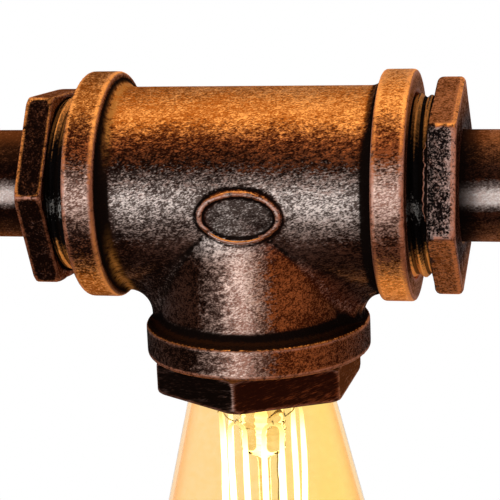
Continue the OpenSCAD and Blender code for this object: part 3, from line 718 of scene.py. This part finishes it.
def note_neck(bushing, axis, hex_in):
    """Marks the bare thread between the tee and the hexagon, which the brush never reached."""
    mark(bushing, "neck", np.abs(points_of(bushing)[0][:, axis]) < hex_in - 0.02)


for side, hex_in, corner_at, flash, rubbed, inner, dull, place in (
    ("left", 36.6, -4.7, 0.12, 0.2, 0.15, 0.12, along_left),
    ("right", 35.8, RIGHT_CORNER, 0.34, 0.75, 1.0, 0.0, along_right),
):
    hex_out = hex_in + SIDE_HEX_T
    seat = hex_out - SOCKET_L
    bore = [(hex_out - MOUTH, SOCKET_R), (seat, SOCKET_R), (seat, WIRE_WAY_R), (THREAD_FROM, WIRE_WAY_R)]
    outline = hexagon(SIDE_FLATS, corner_at)
    rows = bushing_profile(THREAD_FROM, TEE_END, hex_in, hex_out, outline, bore, flash)
    bushing = turned(side + "_hexagon_bushing", rows, place)
    note_wear(bushing, 3)
    places, normals = points_of(bushing)
    from_face = hex_out - np.abs(places[:, 0])
    mark(bushing, "wear", rubbed * np.clip(1 - from_face / 1.6, 0, 1) * (from_face > 0.15))
    mark(bushing, "wear", -inner * (from_face > 4) - dull)
    if side == "right":
        front_flat = (np.abs(normals[:, 2]) < 0.4) * (from_face < 5)
        mark(bushing, "groove", (0.27 + 0.05 * from_face) * front_flat)
    note_neck(bushing, 0, hex_in)
    put(bushing, "lamp_head", side_hex, "iron", side + "_bushing")

# %% [markdown]
# The right hexagon left its mould with a thin wavy fin of flash along one edge, which shows as a bright
# line against the dark thread. It is a flat ellipse swept along the front flat, from corner to corner.

# %% Casting flash
FLASH_FROM, FLASH_TO, FLASH_X, FLASH_SINK = 143.0, 188.0, 35.65, 0.45
FLASH_WIDE, FLASH_THIN, FLASH_WAVE, FLASH_STEPS = 0.6, 0.16, 0.22, 90
fin_turns = round_turns(10)
flash_turns = np.radians(np.linspace(FLASH_FROM, FLASH_TO, FLASH_STEPS))
flats = np.interp(flash_turns, ANGLES, hexagon(SIDE_FLATS, RIGHT_CORNER))
waves = ragged(FLASH_STEPS, FLASH_WAVE)
rings = []
for turn, flat, wave, share in zip(flash_turns, flats, waves, np.linspace(0, math.pi, FLASH_STEPS)):
    wide = FLASH_WIDE * math.sin(share) ** 0.4 + 0.02
    r = flat - FLASH_SINK + FLASH_THIN * np.sin(fin_turns)
    rings.append(np.stack([FLASH_X + wave + wide * np.cos(fin_turns),
                           RUN_Y + r * math.cos(turn), r * math.sin(turn)], -1))
tips = [np.tile(rings[end].mean(0), (len(fin_turns), 1)) for end in (0, -1)]
casting_flash = skin("casting_flash", tips[:1] + rings + tips[1:])
note_wear(casting_flash, 1)
fin_edge = np.tile(np.cos(fin_turns) < -0.7, len(rings) + 2)
mark(casting_flash, "wear", np.where(fin_edge, 1.0, -1.0))
mark(casting_flash, "groove", np.where(fin_edge, -1.0, 1.0))
put(casting_flash, "lamp_head", side_hex, "iron")

# %% [markdown]
# The third bushing holds the lamp. Its hexagon is thicker, and its bore takes the porcelain sleeve.

# %% Lamp bushing
DROP_END, LAMP_THREAD_FROM, LAMP_HEX_IN, LAMP_HEX_OUT = 32.9, 22.5, 33.3, 40.1
SLEEVE_BORE_R, LAMP_FLATS, LAMP_CORNER = 15.95, 36.6, 27.2
bore = [(LAMP_HEX_OUT - MOUTH, SLEEVE_BORE_R), (LAMP_THREAD_FROM, SLEEVE_BORE_R)]
rows = bushing_profile(LAMP_THREAD_FROM, DROP_END, LAMP_HEX_IN, LAMP_HEX_OUT,
                       hexagon(LAMP_FLATS, LAMP_CORNER), bore, 0.08)
bushing = turned("lamp_hexagon_bushing", rows, downwards)
note_wear(bushing, 1, sharp=0.5)
note_neck(bushing, 2, LAMP_HEX_IN)
put(bushing, "lamp_head", lamp_hex, "iron", "lamp_bushing")

# %% [markdown]
# The pipes are plain half-inch tube, drawn and welded, so they are straighter than the castings. A
# closed profile of outside, end, inside and end again goes round each axis, with softened ends. The
# first millimetres of each arm beside its hexagon are painted dark as the hexagon's shadow.

# %% Pipes
PIPE_R, PIPE_BORE_R, PIPE_SOFT = 10.65, 8.05, 0.4
ARM_END, NIPPLE, HEX_FACE, ARM_REACH = 153.5, (5.0, 93.5), 41.4, 170.0


def pipe_rows(start, end):
    """Closed profile of a tube with broken end edges."""
    first, last = start + PIPE_SOFT, end - PIPE_SOFT
    rows = [(start, PIPE_R - PIPE_SOFT)] + [(s, PIPE_R) for s in np.linspace(first, last, 40)]
    rows += [(end, PIPE_R - PIPE_SOFT), (end, PIPE_BORE_R + PIPE_SOFT), (last, PIPE_BORE_R)]
    return all_round(rows + [(first, PIPE_BORE_R), (start, PIPE_BORE_R + PIPE_SOFT)])


def into_wall(x):
    return lambda s, r, a: (x + r * np.cos(a), np.full(ROUND, -s), r * np.sin(a))


for name, rows, place, shade_l in (
    ("left_arm_pipe", pipe_rows(27.8, ARM_END), along_left, 2.4),
    ("right_arm_pipe", pipe_rows(27.0, ARM_END), along_right, 3.0),
    ("left_wall_nipple", pipe_rows(*NIPPLE), into_wall(-ARM_REACH), 0),
    ("right_wall_nipple", pipe_rows(*NIPPLE), into_wall(ARM_REACH), 0),
):
    pipe = turned(name.rsplit("_", 1)[0] + "_tube", rows, place)
    note_wear(pipe, 2)
    if shade_l:
        # Painted shadow of the hexagon on the first millimetres of the arm
        mark(pipe, "groove", 0.85 * hill(np.abs(points_of(pipe)[0][:, 0]) - HEX_FACE, shade_l))
    put(pipe, "wall_frame", pipe_copper, "pipe", name)

# %% [markdown]
# The elbows and the round wall flanges are castings like the tee, so they get the same skin, with a
# coarser grain of points because they are further from the eye.

# %% Elbows and flanges
for side in ("left", "right"):
    for node, voxel, finish in (("elbow", 0.6, cast_copper), ("flange", 0.7, flange_copper)):
        casting = cast_skin(f"{side}_{node}_casting", f"{side}_{node}", voxel, 4)
        note_wear(casting, 3)
        put(casting, "wall_frame", finish, "iron", f"{side}_{node}")

# %% [markdown]
# The bulb is blown from amber-tinted clear glass. It is a thin shell with two skins, because a solid
# drop would bend the light like a lens. Its outline is a cone that leaves the neck at 13 degrees, a wide
# arc for the belly and a rounded dome, as the solid has it, with more points.

# %% Bulb shape
CAP_LOW, SEAT_R, NECK_R, BULB_R, TIP_R = -37.0, 12.6, 13.5, 32.0, 0.8
SEAT_Z, SEAT_END, CONE_TOP = (-28.0, -33.0), CAP_LOW - 0.2, CAP_LOW - 1.3
GLASS_T, BELLY_R, NECK_ANGLE, GLASS_TIP, DOME_POWER = 0.8, 60.0, math.radians(13), -153.0, 2.15
CONE_R = BULB_R - BELLY_R * (1 - math.cos(NECK_ANGLE))
CONE_LOW = CAP_LOW - (CONE_R - NECK_R) / math.tan(NECK_ANGLE)
BELLY_Z = CONE_LOW - BELLY_R * math.sin(NECK_ANGLE)
DOME_H = BELLY_Z - GLASS_TIP


def glass_outline(inset):
    """(radius, height) from the seat in the cap to the tip; inset gives the inner skin."""
    rows = [(SEAT_R, z) for z in (*SEAT_Z, SEAT_END)]
    rows += [(SEAT_R + (NECK_R - SEAT_R) * t * t * (3 - 2 * t), SEAT_END + (CONE_TOP - SEAT_END) * t)
             for t in (0.25, 0.5, 0.75)]
    rows += [(NECK_R + (CONE_R - NECK_R) * t, CONE_TOP + (CONE_LOW - CONE_TOP) * t)
             for t in np.linspace(0, 1, 14)]
    rows += [(BULB_R - BELLY_R * (1 - math.cos(a)), BELLY_Z + BELLY_R * math.sin(a))
             for a in np.linspace(NECK_ANGLE, 0, 9)[1:]]
    rows += [(max(BULB_R * math.cos(t) ** (2 / DOME_POWER), TIP_R),
              BELLY_Z - DOME_H * math.sin(t) ** (2 / DOME_POWER))
             for t in np.linspace(0, math.pi / 2, 30)[1:]]
    return [(max(r - inset, 0.02), z + inset * max(0.0, (BELLY_Z - z) / DOME_H)) for r, z in rows]


def lathe(name, outline, around, joined=True):
    """A turned piece on the lamp axis from (radius, height) points."""
    turns = round_turns(around)
    return skin(name, [np.stack([r * np.cos(turns), RUN_Y + r * np.sin(turns), np.full(around, z)], -1)
                       for r, z in outline], joined)


bulb = lathe("bulb_glass_shell", glass_outline(0) + glass_outline(GLASS_T)[::-1], 128)
print("bulb:", 2 * BULB_R, "mm wide, down to", GLASS_TIP, "mm")

# %% [markdown]
# Amber glass is a thin coloured film on clear glass. It is deeper on the right, paler towards the tip,
# faintly streaked and mottled from the dip, and deepest at the rim, where the eye looks through more of
# it. Layer Weight gives that rim. A low IOR keeps the thin wall from bending what lies behind it.

# %% Amber glass
glass, spot = new_finish("amber_glass", Transmission_Weight=1.0, IOR=1.1, Roughness=0.035)
tint = mix(between(axis_of(spot, "X"), -0.016, 0.016), (1.0, 0.83, 0.565, 1), (1.0, 0.86, 0.435, 1))
for amount, film in (
    (between(-axis_of(spot, "Z"), 0.060, 0.150) * 0.6, (1.0, 0.86, 0.58, 1)),
    (between(cloud(spot, (60, 60, 14)), 0.35, 0.65) * 0.3, (1.0, 0.88, 0.62, 1)),
    (between(cloud(spot, 620), 0.4, 0.62) * 0.3, (1.0, 0.76, 0.38, 1)),
    (between(spot.node("ShaderNodeLayerWeight", out="Facing"), 0.5, 0.85), (1.0, 0.50, 0.17, 1)),
):
    tint = mix(amount, tint, film)
lay_on(glass, Base_Color=tint)
put(bulb, "bulb", glass, "bulb_glass", "bulb_glass")

# %% [markdown]
# Inside the bulb a glass mount carries the filament: a flare sealed in the neck, a tube, a flat pinch
# where the wires pass through, and a thin rod with a bead. The pinch is squeezed while the glass is
# soft, so the turned profile is flattened there, which one scale along Y does well.

# %% Glass mount
STEM_TOP, PINCH_Z, TUBE_R, ROD_R, BEAD_END_R = -29.0, -55.0, 4.6, 1.3, 1.95
FLARE_R, FLARE_H, ROD_LOW = 11.7, 9.0, -106.5
PINCH_EDGE = (4.45, 0.5), (3.9, 0.0), (2.4, -0.5), (1.5, -1.2)
RIDGES_Z, RIDGES_L, RIDGE_H, RIDGE_TURNS = -49.6, 1.9, 0.32, 4.1
PINCH_L, PINCH_FLAT = 4.2, 0.45
outline = [(0.02, STEM_TOP), (FLARE_R, STEM_TOP)]
outline += [(FLARE_R - (FLARE_R - TUBE_R) * math.sin(a),
             STEM_TOP - FLARE_H + (FLARE_R - TUBE_R) * math.cos(a))
            for a in np.linspace(0.1, math.pi / 2, 10)]
outline += [(TUBE_R + RIDGE_H * hill(z - RIDGES_Z, RIDGES_L) * math.sin(z * RIDGE_TURNS), z)
            for z in np.linspace(STEM_TOP - FLARE_H - 0.8, PINCH_Z + 1.2, 40)]
outline += [(r, PINCH_Z + z) for r, z in PINCH_EDGE]
outline += [(ROD_R, z) for z in np.linspace(PINCH_Z - 2.2, ROD_LOW + 2.6, 20)]
outline += [(BEAD_END_R * math.sin(a), ROD_LOW + BEAD_END_R * math.cos(a)) for a in np.linspace(0.75, 3.1, 9)]
stem = lathe("glass_mount", outline + [(0.02, ROD_LOW - BEAD_END_R)], 48, joined=False)
for v in stem.data.vertices:
    flat = PINCH_FLAT * hill(v.co.z / MM - (PINCH_Z + 2.5), PINCH_L)
    v.co.y = RUN_Y * MM + (v.co.y - RUN_Y * MM) * (1 - flat)
stem_glass, spot = new_finish("mount_glass", Transmission_Weight=1.0, IOR=1.2, Roughness=0.03)
seed = between(cloud(spot, (220, 220, 800)), 0.4, 0.62)
lay_on(stem_glass, Base_Color=mix(seed, (1.0, 0.97, 0.86, 1), (0.92, 0.76, 0.50, 1)))
put(stem, "bulb", stem_glass, "stem_glass", "bulb_stem")

# %% [markdown]
# The filament is one carbon thread that runs up and down a cage of hooks. It is swept as a round tube
# along a path of straight strands and half-circle turns. It glows, so its colour is light: the middle of
# each strand is hottest and looks broader for it, and the turns at the hooks are cool and thin.

# %% Filament
STRANDS, CAGE_R, CAGE_TOP, CAGE_L, TURN_H = 14, 8.3, -46.5, 62.0, 2.0
STRAND_END, STRAND_R, SWAY, SWELL_L = -70.5, 0.42, 0.18, 8
CAGE_LOW, STRAND_STEP = CAGE_TOP - CAGE_L, 2 * math.pi / STRANDS


def round_lamp(r, angle, z):
    """A point at a radius and an angle round the lamp axis."""
    return np.array([r * math.cos(angle), RUN_Y + r * math.sin(angle), z])


def cage_path():
    """Points of the thread from one end to the other."""
    points = []
    bottom, top = CAGE_LOW + TURN_H, CAGE_TOP - TURN_H
    for k in range(STRANDS):
        upward = k % 2 == 1
        heights = np.linspace(bottom, STRAND_END if k in (0, STRANDS - 1) else top, 16)
        points += [(k, z) for z in (heights if upward else heights[::-1])]
        if k < STRANDS - 1:
            for t in np.linspace(0, math.pi, 9)[1:-1]:
                bow = TURN_H * math.sin(t)
                points.append((k + (1 - math.cos(t)) / 2, (top + bow) if upward else (bottom - bow)))
    turns = [(share * STRAND_STEP, z) for share, z in points]
    return np.array([round_lamp(CAGE_R + SWAY * math.sin(z * 0.21 + a * 3), a, z) for a, z in turns])


def sweep(name, path, radius, around=8):
    """A round tube along points, with closed ends; radius is one number or one for each point."""
    path = np.array(path)
    ahead = np.gradient(path, axis=0)
    ahead /= np.linalg.norm(ahead, axis=1)[:, None]
    hint = np.array([0.3, 0.5, 0.8])
    rings = [np.repeat(path[:1], around, 0)]
    for p, t, r in zip(path, ahead, np.broadcast_to(radius, len(path))):
        hint = hint - (hint @ t) * t
        hint /= np.linalg.norm(hint)
        other = np.cross(t, hint)
        rings.append([p + r * (math.cos(a) * hint + math.sin(a) * other) for a in round_turns(around)])
    return skin(name, rings + [np.repeat(path[-1:], around, 0)])


thread = cage_path()
from_turn = np.minimum(CAGE_TOP - thread[:, 2], thread[:, 2] - CAGE_LOW)
filament = sweep("filament_thread", thread, STRAND_R * (0.85 + 0.6 * np.clip(from_turn / SWELL_L, 0, 1)))
print("filament:", round(np.linalg.norm(np.diff(thread, axis=0), axis=1).sum()), "mm of thread")

# %% Glow
glow, spot = new_finish("glowing_thread", Emission_Strength=4.2, Roughness=0.6)
heat, height = cloud(spot, (200, 200, 60)), axis_of(spot, "Z")
hot = bell(height, -0.068, 0.024) * 0.8 + heat * 0.3
lit = mix(hot, (1.0, 0.64, 0.27, 1), (1.0, 0.94, 0.72, 1))
lay_on(glow, Emission_Color=mix(between(-height, 0.0455, 0.054), (0.25, 0.20, 0.10, 1), lit),
       Base_Color=mix(heat, (0.02, 0.015, 0.012, 1), (0.06, 0.04, 0.03, 1)))
put(filament, "bulb", glow, "filament", "bulb_filament")

# %% [markdown]
# Thin wires hold the thread: hooks bent from the mount at the top and from its bead at the bottom, each
# with a small crook over one turn of the thread, and two leads that come out of the pinch. They are drawn
# as fine bent wires, because straight thick ones would show as dark bars against the glow.

# %% Hooks and leads
HOOK_R, LEAD_R, LEAD_REACH = 0.14, 0.16, 3.4
CROOK = [(-0.66, -0.3), (-0.6, 0.1), (-0.35, 0.5), (0.0, 0.65), (0.35, 0.5), (0.6, 0.1)]
TOP_ARM = [(TUBE_R - 0.2, CAGE_TOP - 2.4), (5.8, CAGE_TOP - 1.9), (6.9, CAGE_TOP - 1.3)]
LOW_ARM = [(1.7, ROD_LOW), (4.2, ROD_LOW - 0.5), (6.6, ROD_LOW - 1.3)]


def bent_wire(turn, points):
    """(radius, height) points beside one strand; turn counts strands."""
    return [round_lamp(r, turn * STRAND_STEP, z) for r, z in points]


def bundle(name, paths, radius):
    """Several swept wires as one piece."""
    gathered = bmesh.new()
    for path in paths:
        single = sweep(name + "_single", path, radius)
        gathered.from_mesh(single.data)
        bpy.data.objects.remove(single)
    mesh = bpy.data.meshes.new(name)
    gathered.to_mesh(mesh)
    gathered.free()
    return add_mesh(name, mesh)


top_hook = TOP_ARM + [(CAGE_R + r, CAGE_TOP + z) for r, z in CROOK]
low_hook = LOW_ARM + [(CAGE_R + r, CAGE_LOW - z) for r, z in CROOK]
hooks = [bent_wire(1.5 + 2 * k, top_hook) for k in range(6)]
hooks += [bent_wire(0.5 + 2 * k, low_hook) for k in range(7)]
lead_line = [(LEAD_REACH + 0.1 * math.sin(z * 1.1), z)
             for z in np.linspace(PINCH_Z + 0.6, STRAND_END + 3, 14)]
lead_line += [(4.4, STRAND_END + 1.4), (6.2, STRAND_END + 0.2), (CAGE_R - 0.5, STRAND_END - 0.4)]
pale_wire, spot = new_finish("hot_hook_wire", Metallic=0.4, Roughness=0.4)
drawn = cloud(spot, 2000)
lay_on(pale_wire, Base_Color=mix(drawn, (0.62, 0.52, 0.38, 1), (0.40, 0.32, 0.22, 1)))
lead_finish, spot = new_finish("lead_wire", Metallic=1.0)
drawn = cloud(spot, (4000, 4000, 300))
lay_on(lead_finish, Base_Color=mix(drawn, (0.30, 0.25, 0.19, 1), (0.12, 0.10, 0.08, 1)),
       Roughness=drawn * 0.3 + 0.25)
put(bundle("hook_wires", hooks, HOOK_R), "bulb", pale_wire, "zinc_steel", "bulb_supports")
leads = [bent_wire(k, lead_line) for k in (0, STRANDS - 1)]
put(bundle("lead_wires", leads, LEAD_R), "bulb", lead_finish, "zinc_steel", "bulb_leads")

# %% [markdown]
# The bulb's screw cap is rolled from thin brass, with a round thread of 3.629 mm pitch, and it screws
# into the shell of the porcelain holder. Both hide in the tee until the bulb is unscrewed. The thread is
# a wave in the radius that climbs one pitch in each turn, kept inside the solid's radius.

# %% Screw cap
CAP_R, CAP_PITCH, CAP_TOP, CAP_WAVE = 13.05, 3.629, 15.4, 0.42
cap_low = -CAP_LOW
rows = all_round([(cap_low, CAP_R), (cap_low - 0.6, CAP_R)])
for s in np.linspace(cap_low - 1.0, CAP_TOP + 1.6, 76):
    fade = np.clip(min(cap_low - 1.0 - s, s - CAP_TOP - 1.6) / 2, 0, 1)
    wave = 0.5 - 0.5 * np.cos(2 * math.pi * (s / CAP_PITCH) - ANGLES)
    rows.append((s, CAP_R - CAP_WAVE * wave * fade))
rows += all_round([(CAP_TOP + 0.3, CAP_R - 0.25), (CAP_TOP, CAP_R - 1.05), (CAP_TOP, 11.0)])
rows += all_round([(CAP_TOP + 0.45, 11.0), (CAP_TOP + 0.6, 12.0), (cap_low, SEAT_R)])
cap = turned("threaded_cap", rows, downwards)
brass, spot = new_finish("sheet_brass", Metallic=1.0)
tarnish = between(cloud(spot, 260, 4.0), 0.42, 0.68)
lay_on(brass, Base_Color=mix(tarnish, (0.78, 0.53, 0.20, 1), (0.42, 0.25, 0.09, 1)),
       Roughness=tarnish * 0.2 + 0.24, Normal=grained(cloud(spot, 2500), 0.00002, 0.4))
put(cap, "bulb", brass, "brass", "bulb_cap")

# %% [markdown]
# The rest of the lamp keeps its exact solids, which are right as they are: pressed brass, porcelain,
# rubber and wire. Each only needs a finish with the grain, gloss and marks of its real material.

# %% Finishes of the inner parts
porcelain, spot = new_finish("glazed_porcelain", Coat_Roughness=0.06)
crawl = between(cloud(spot, 420, 3.0), 0.5, 0.75)
lay_on(porcelain, Base_Color=mix(crawl, (0.80, 0.77, 0.70, 1), (0.68, 0.62, 0.52, 1)),
       Roughness=crawl * 0.2 + 0.22, Coat_Weight=0.9 - crawl * 0.3,
       Normal=grained(cloud(spot, 300, 3.0), 0.00006, 0.5))

zinc, spot = new_finish("zinc_plate", Metallic=1.0)
spangle = cloud(spot, 1400)
lay_on(zinc, Base_Color=mix(spangle, (0.62, 0.62, 0.60, 1), (0.42, 0.43, 0.45, 1)),
       Roughness=spangle * 0.25 + 0.22)


def moulded(name, low, high, shine):
    """Soft plastic or rubber: two close shades, a dull bloom and a fine skin."""
    finish, spot = new_finish(name)
    bloom = between(cloud(spot, 180, 4.0), 0.35, 0.7)
    lay_on(finish, Base_Color=mix(bloom, low, high), Roughness=bloom * 0.18 + shine,
           Normal=grained(cloud(spot, 3500), 0.00002, 0.5))
    return finish


for finish, *nodes in (
    (porcelain, "holder_body"),
    (brass, "holder_shell", "holder_tongue", "live_terminal", "neutral_terminal"),
    (zinc, "terminal_screws", "bulb_contact"),
    (moulded("brown_core", (0.11, 0.045, 0.02, 1), (0.16, 0.07, 0.035, 1), 0.36), "live_lead"),
    (moulded("blue_core", (0.02, 0.07, 0.26, 1), (0.04, 0.11, 0.34, 1), 0.36), "neutral_lead"),
    (moulded("cable_sheath", (0.018, 0.017, 0.016, 1), (0.034, 0.032, 0.03, 1), 0.45),
     "cable_tail", "supply_cable"),
    (moulded("grommet_rubber", (0.011, 0.011, 0.011, 1), (0.028, 0.027, 0.026, 1), 0.62),
     "arm_grommet", "entry_grommet"),
    (moulded("black_glass", (0.006, 0.006, 0.007, 1), (0.012, 0.011, 0.012, 1), 0.12), "bulb_insulator"),
):
    for node in nodes:
        dress(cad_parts[node], finish)
    print(finish.name, "on", *nodes)

# %% [markdown]
# A product photograph stands in soft light: a broad box over the object, a tall one at the front left
# and a weak fill from the right. The lamps only model the form, so they stay at a plain level.


# %% Lamps
def soft_box(name, at, size, power, colour):
    """A rectangular lamp that faces the tee; places and sizes are metres."""
    lamp = bpy.data.lights.new(name, "AREA")
    lamp.shape, lamp.size, lamp.size_y = "RECTANGLE", size[0], size[1]
    lamp.energy, lamp.color = power, colour
    holder = in_scene(bpy.data.objects.new(name, lamp))
    holder.location = TEE_CENTRE + Vector(at)
    holder.rotation_euler = (-Vector(at)).to_track_quat("-Z", "Y").to_euler()


soft_box("overhead_box", (0.05, -0.15, 0.9), (0.9, 0.6), 6.0, (1.0, 0.95, 0.88))
soft_box("front_left_box", (-0.62, -1.0, 0.0), (0.5, 0.8), 5.8, (1.0, 0.98, 0.96))
soft_box("right_fill", (1.0, -0.45, -0.1), (0.5, 0.7), 2.4, (1.0, 0.93, 0.84))

# %% [markdown]
# The white ground comes from the world and the floor, and not from more light on the object. Light Path
# makes both plain white to the camera, to reflections and to glass, while the world lights the object
# at a third of that. Below the object the paper's own shading is let through, so a soft shadow stays.

# %% White ground
AMBIENT = 0.30
FLOOR_Z, FLOOR_HALF = -0.172, 6.0
SHADOW_SHARE, SHADOW_FROM, SHADOW_TO = 0.35, 0.05, 0.25
WHITE = (1, 1, 1, 1)
RAYS = "Is Camera Ray", "Is Glossy Ray", "Is Transmission Ray"


def seen(wire):
    """1 for rays that show the ground: from the camera, a reflection or glass."""
    first, *others = (wire.node("ShaderNodeLightPath", out=ray) for ray in RAYS)
    for ray in others:
        first = wire.sum("MAXIMUM", first, ray)
    return first


world = bpy.data.worlds.new("white_room")
bpy.context.scene.world = world
world.use_nodes = True
world.node_tree.nodes.clear()
start = Wire(world.node_tree)
ground = start.node("ShaderNodeBackground", None,
                    {"Color": WHITE, "Strength": seen(start) * (1 - AMBIENT) + AMBIENT})
start.node("ShaderNodeOutputWorld", None, {"Surface": ground})

floor_mesh = bpy.data.meshes.new("floor")
corners = [(x * FLOOR_HALF, y * FLOOR_HALF, FLOOR_Z) for x, y in ((-1, -1), (1, -1), (1, 1), (-1, 1))]
floor_mesh.from_pydata(corners, [], [(0, 1, 2, 3)])
floor = in_scene(bpy.data.objects.new("floor", floor_mesh))
paper, spot = new_finish("white_paper", Base_Color=(0.95, 0.95, 0.95, 1), Roughness=0.9,
                         Specular_IOR_Level=0.1)
shine = spot.node("ShaderNodeEmission", None, {"Color": WHITE, "Strength": 1.0})
away = spot.node("ShaderNodeVectorMath", {"operation": "DISTANCE"},
                 {0: spot, 1: TEE_CENTRE + Vector((0, 0, FLOOR_Z))}, out="Value")
shadow = (1.0 - between(away, SHADOW_FROM, SHADOW_TO)) * SHADOW_SHARE
both = spot.node("ShaderNodeMixShader", None, {
    0: seen(spot) * (1.0 - shadow), 1: Wire(spot.tree, shader_of(paper).outputs[0]), 2: shine})
spot.tree.links.new(both.socket, spot.tree.nodes["Material Output"].inputs["Surface"])
dress(floor, paper)
print("floor at", FLOOR_Z, "m")
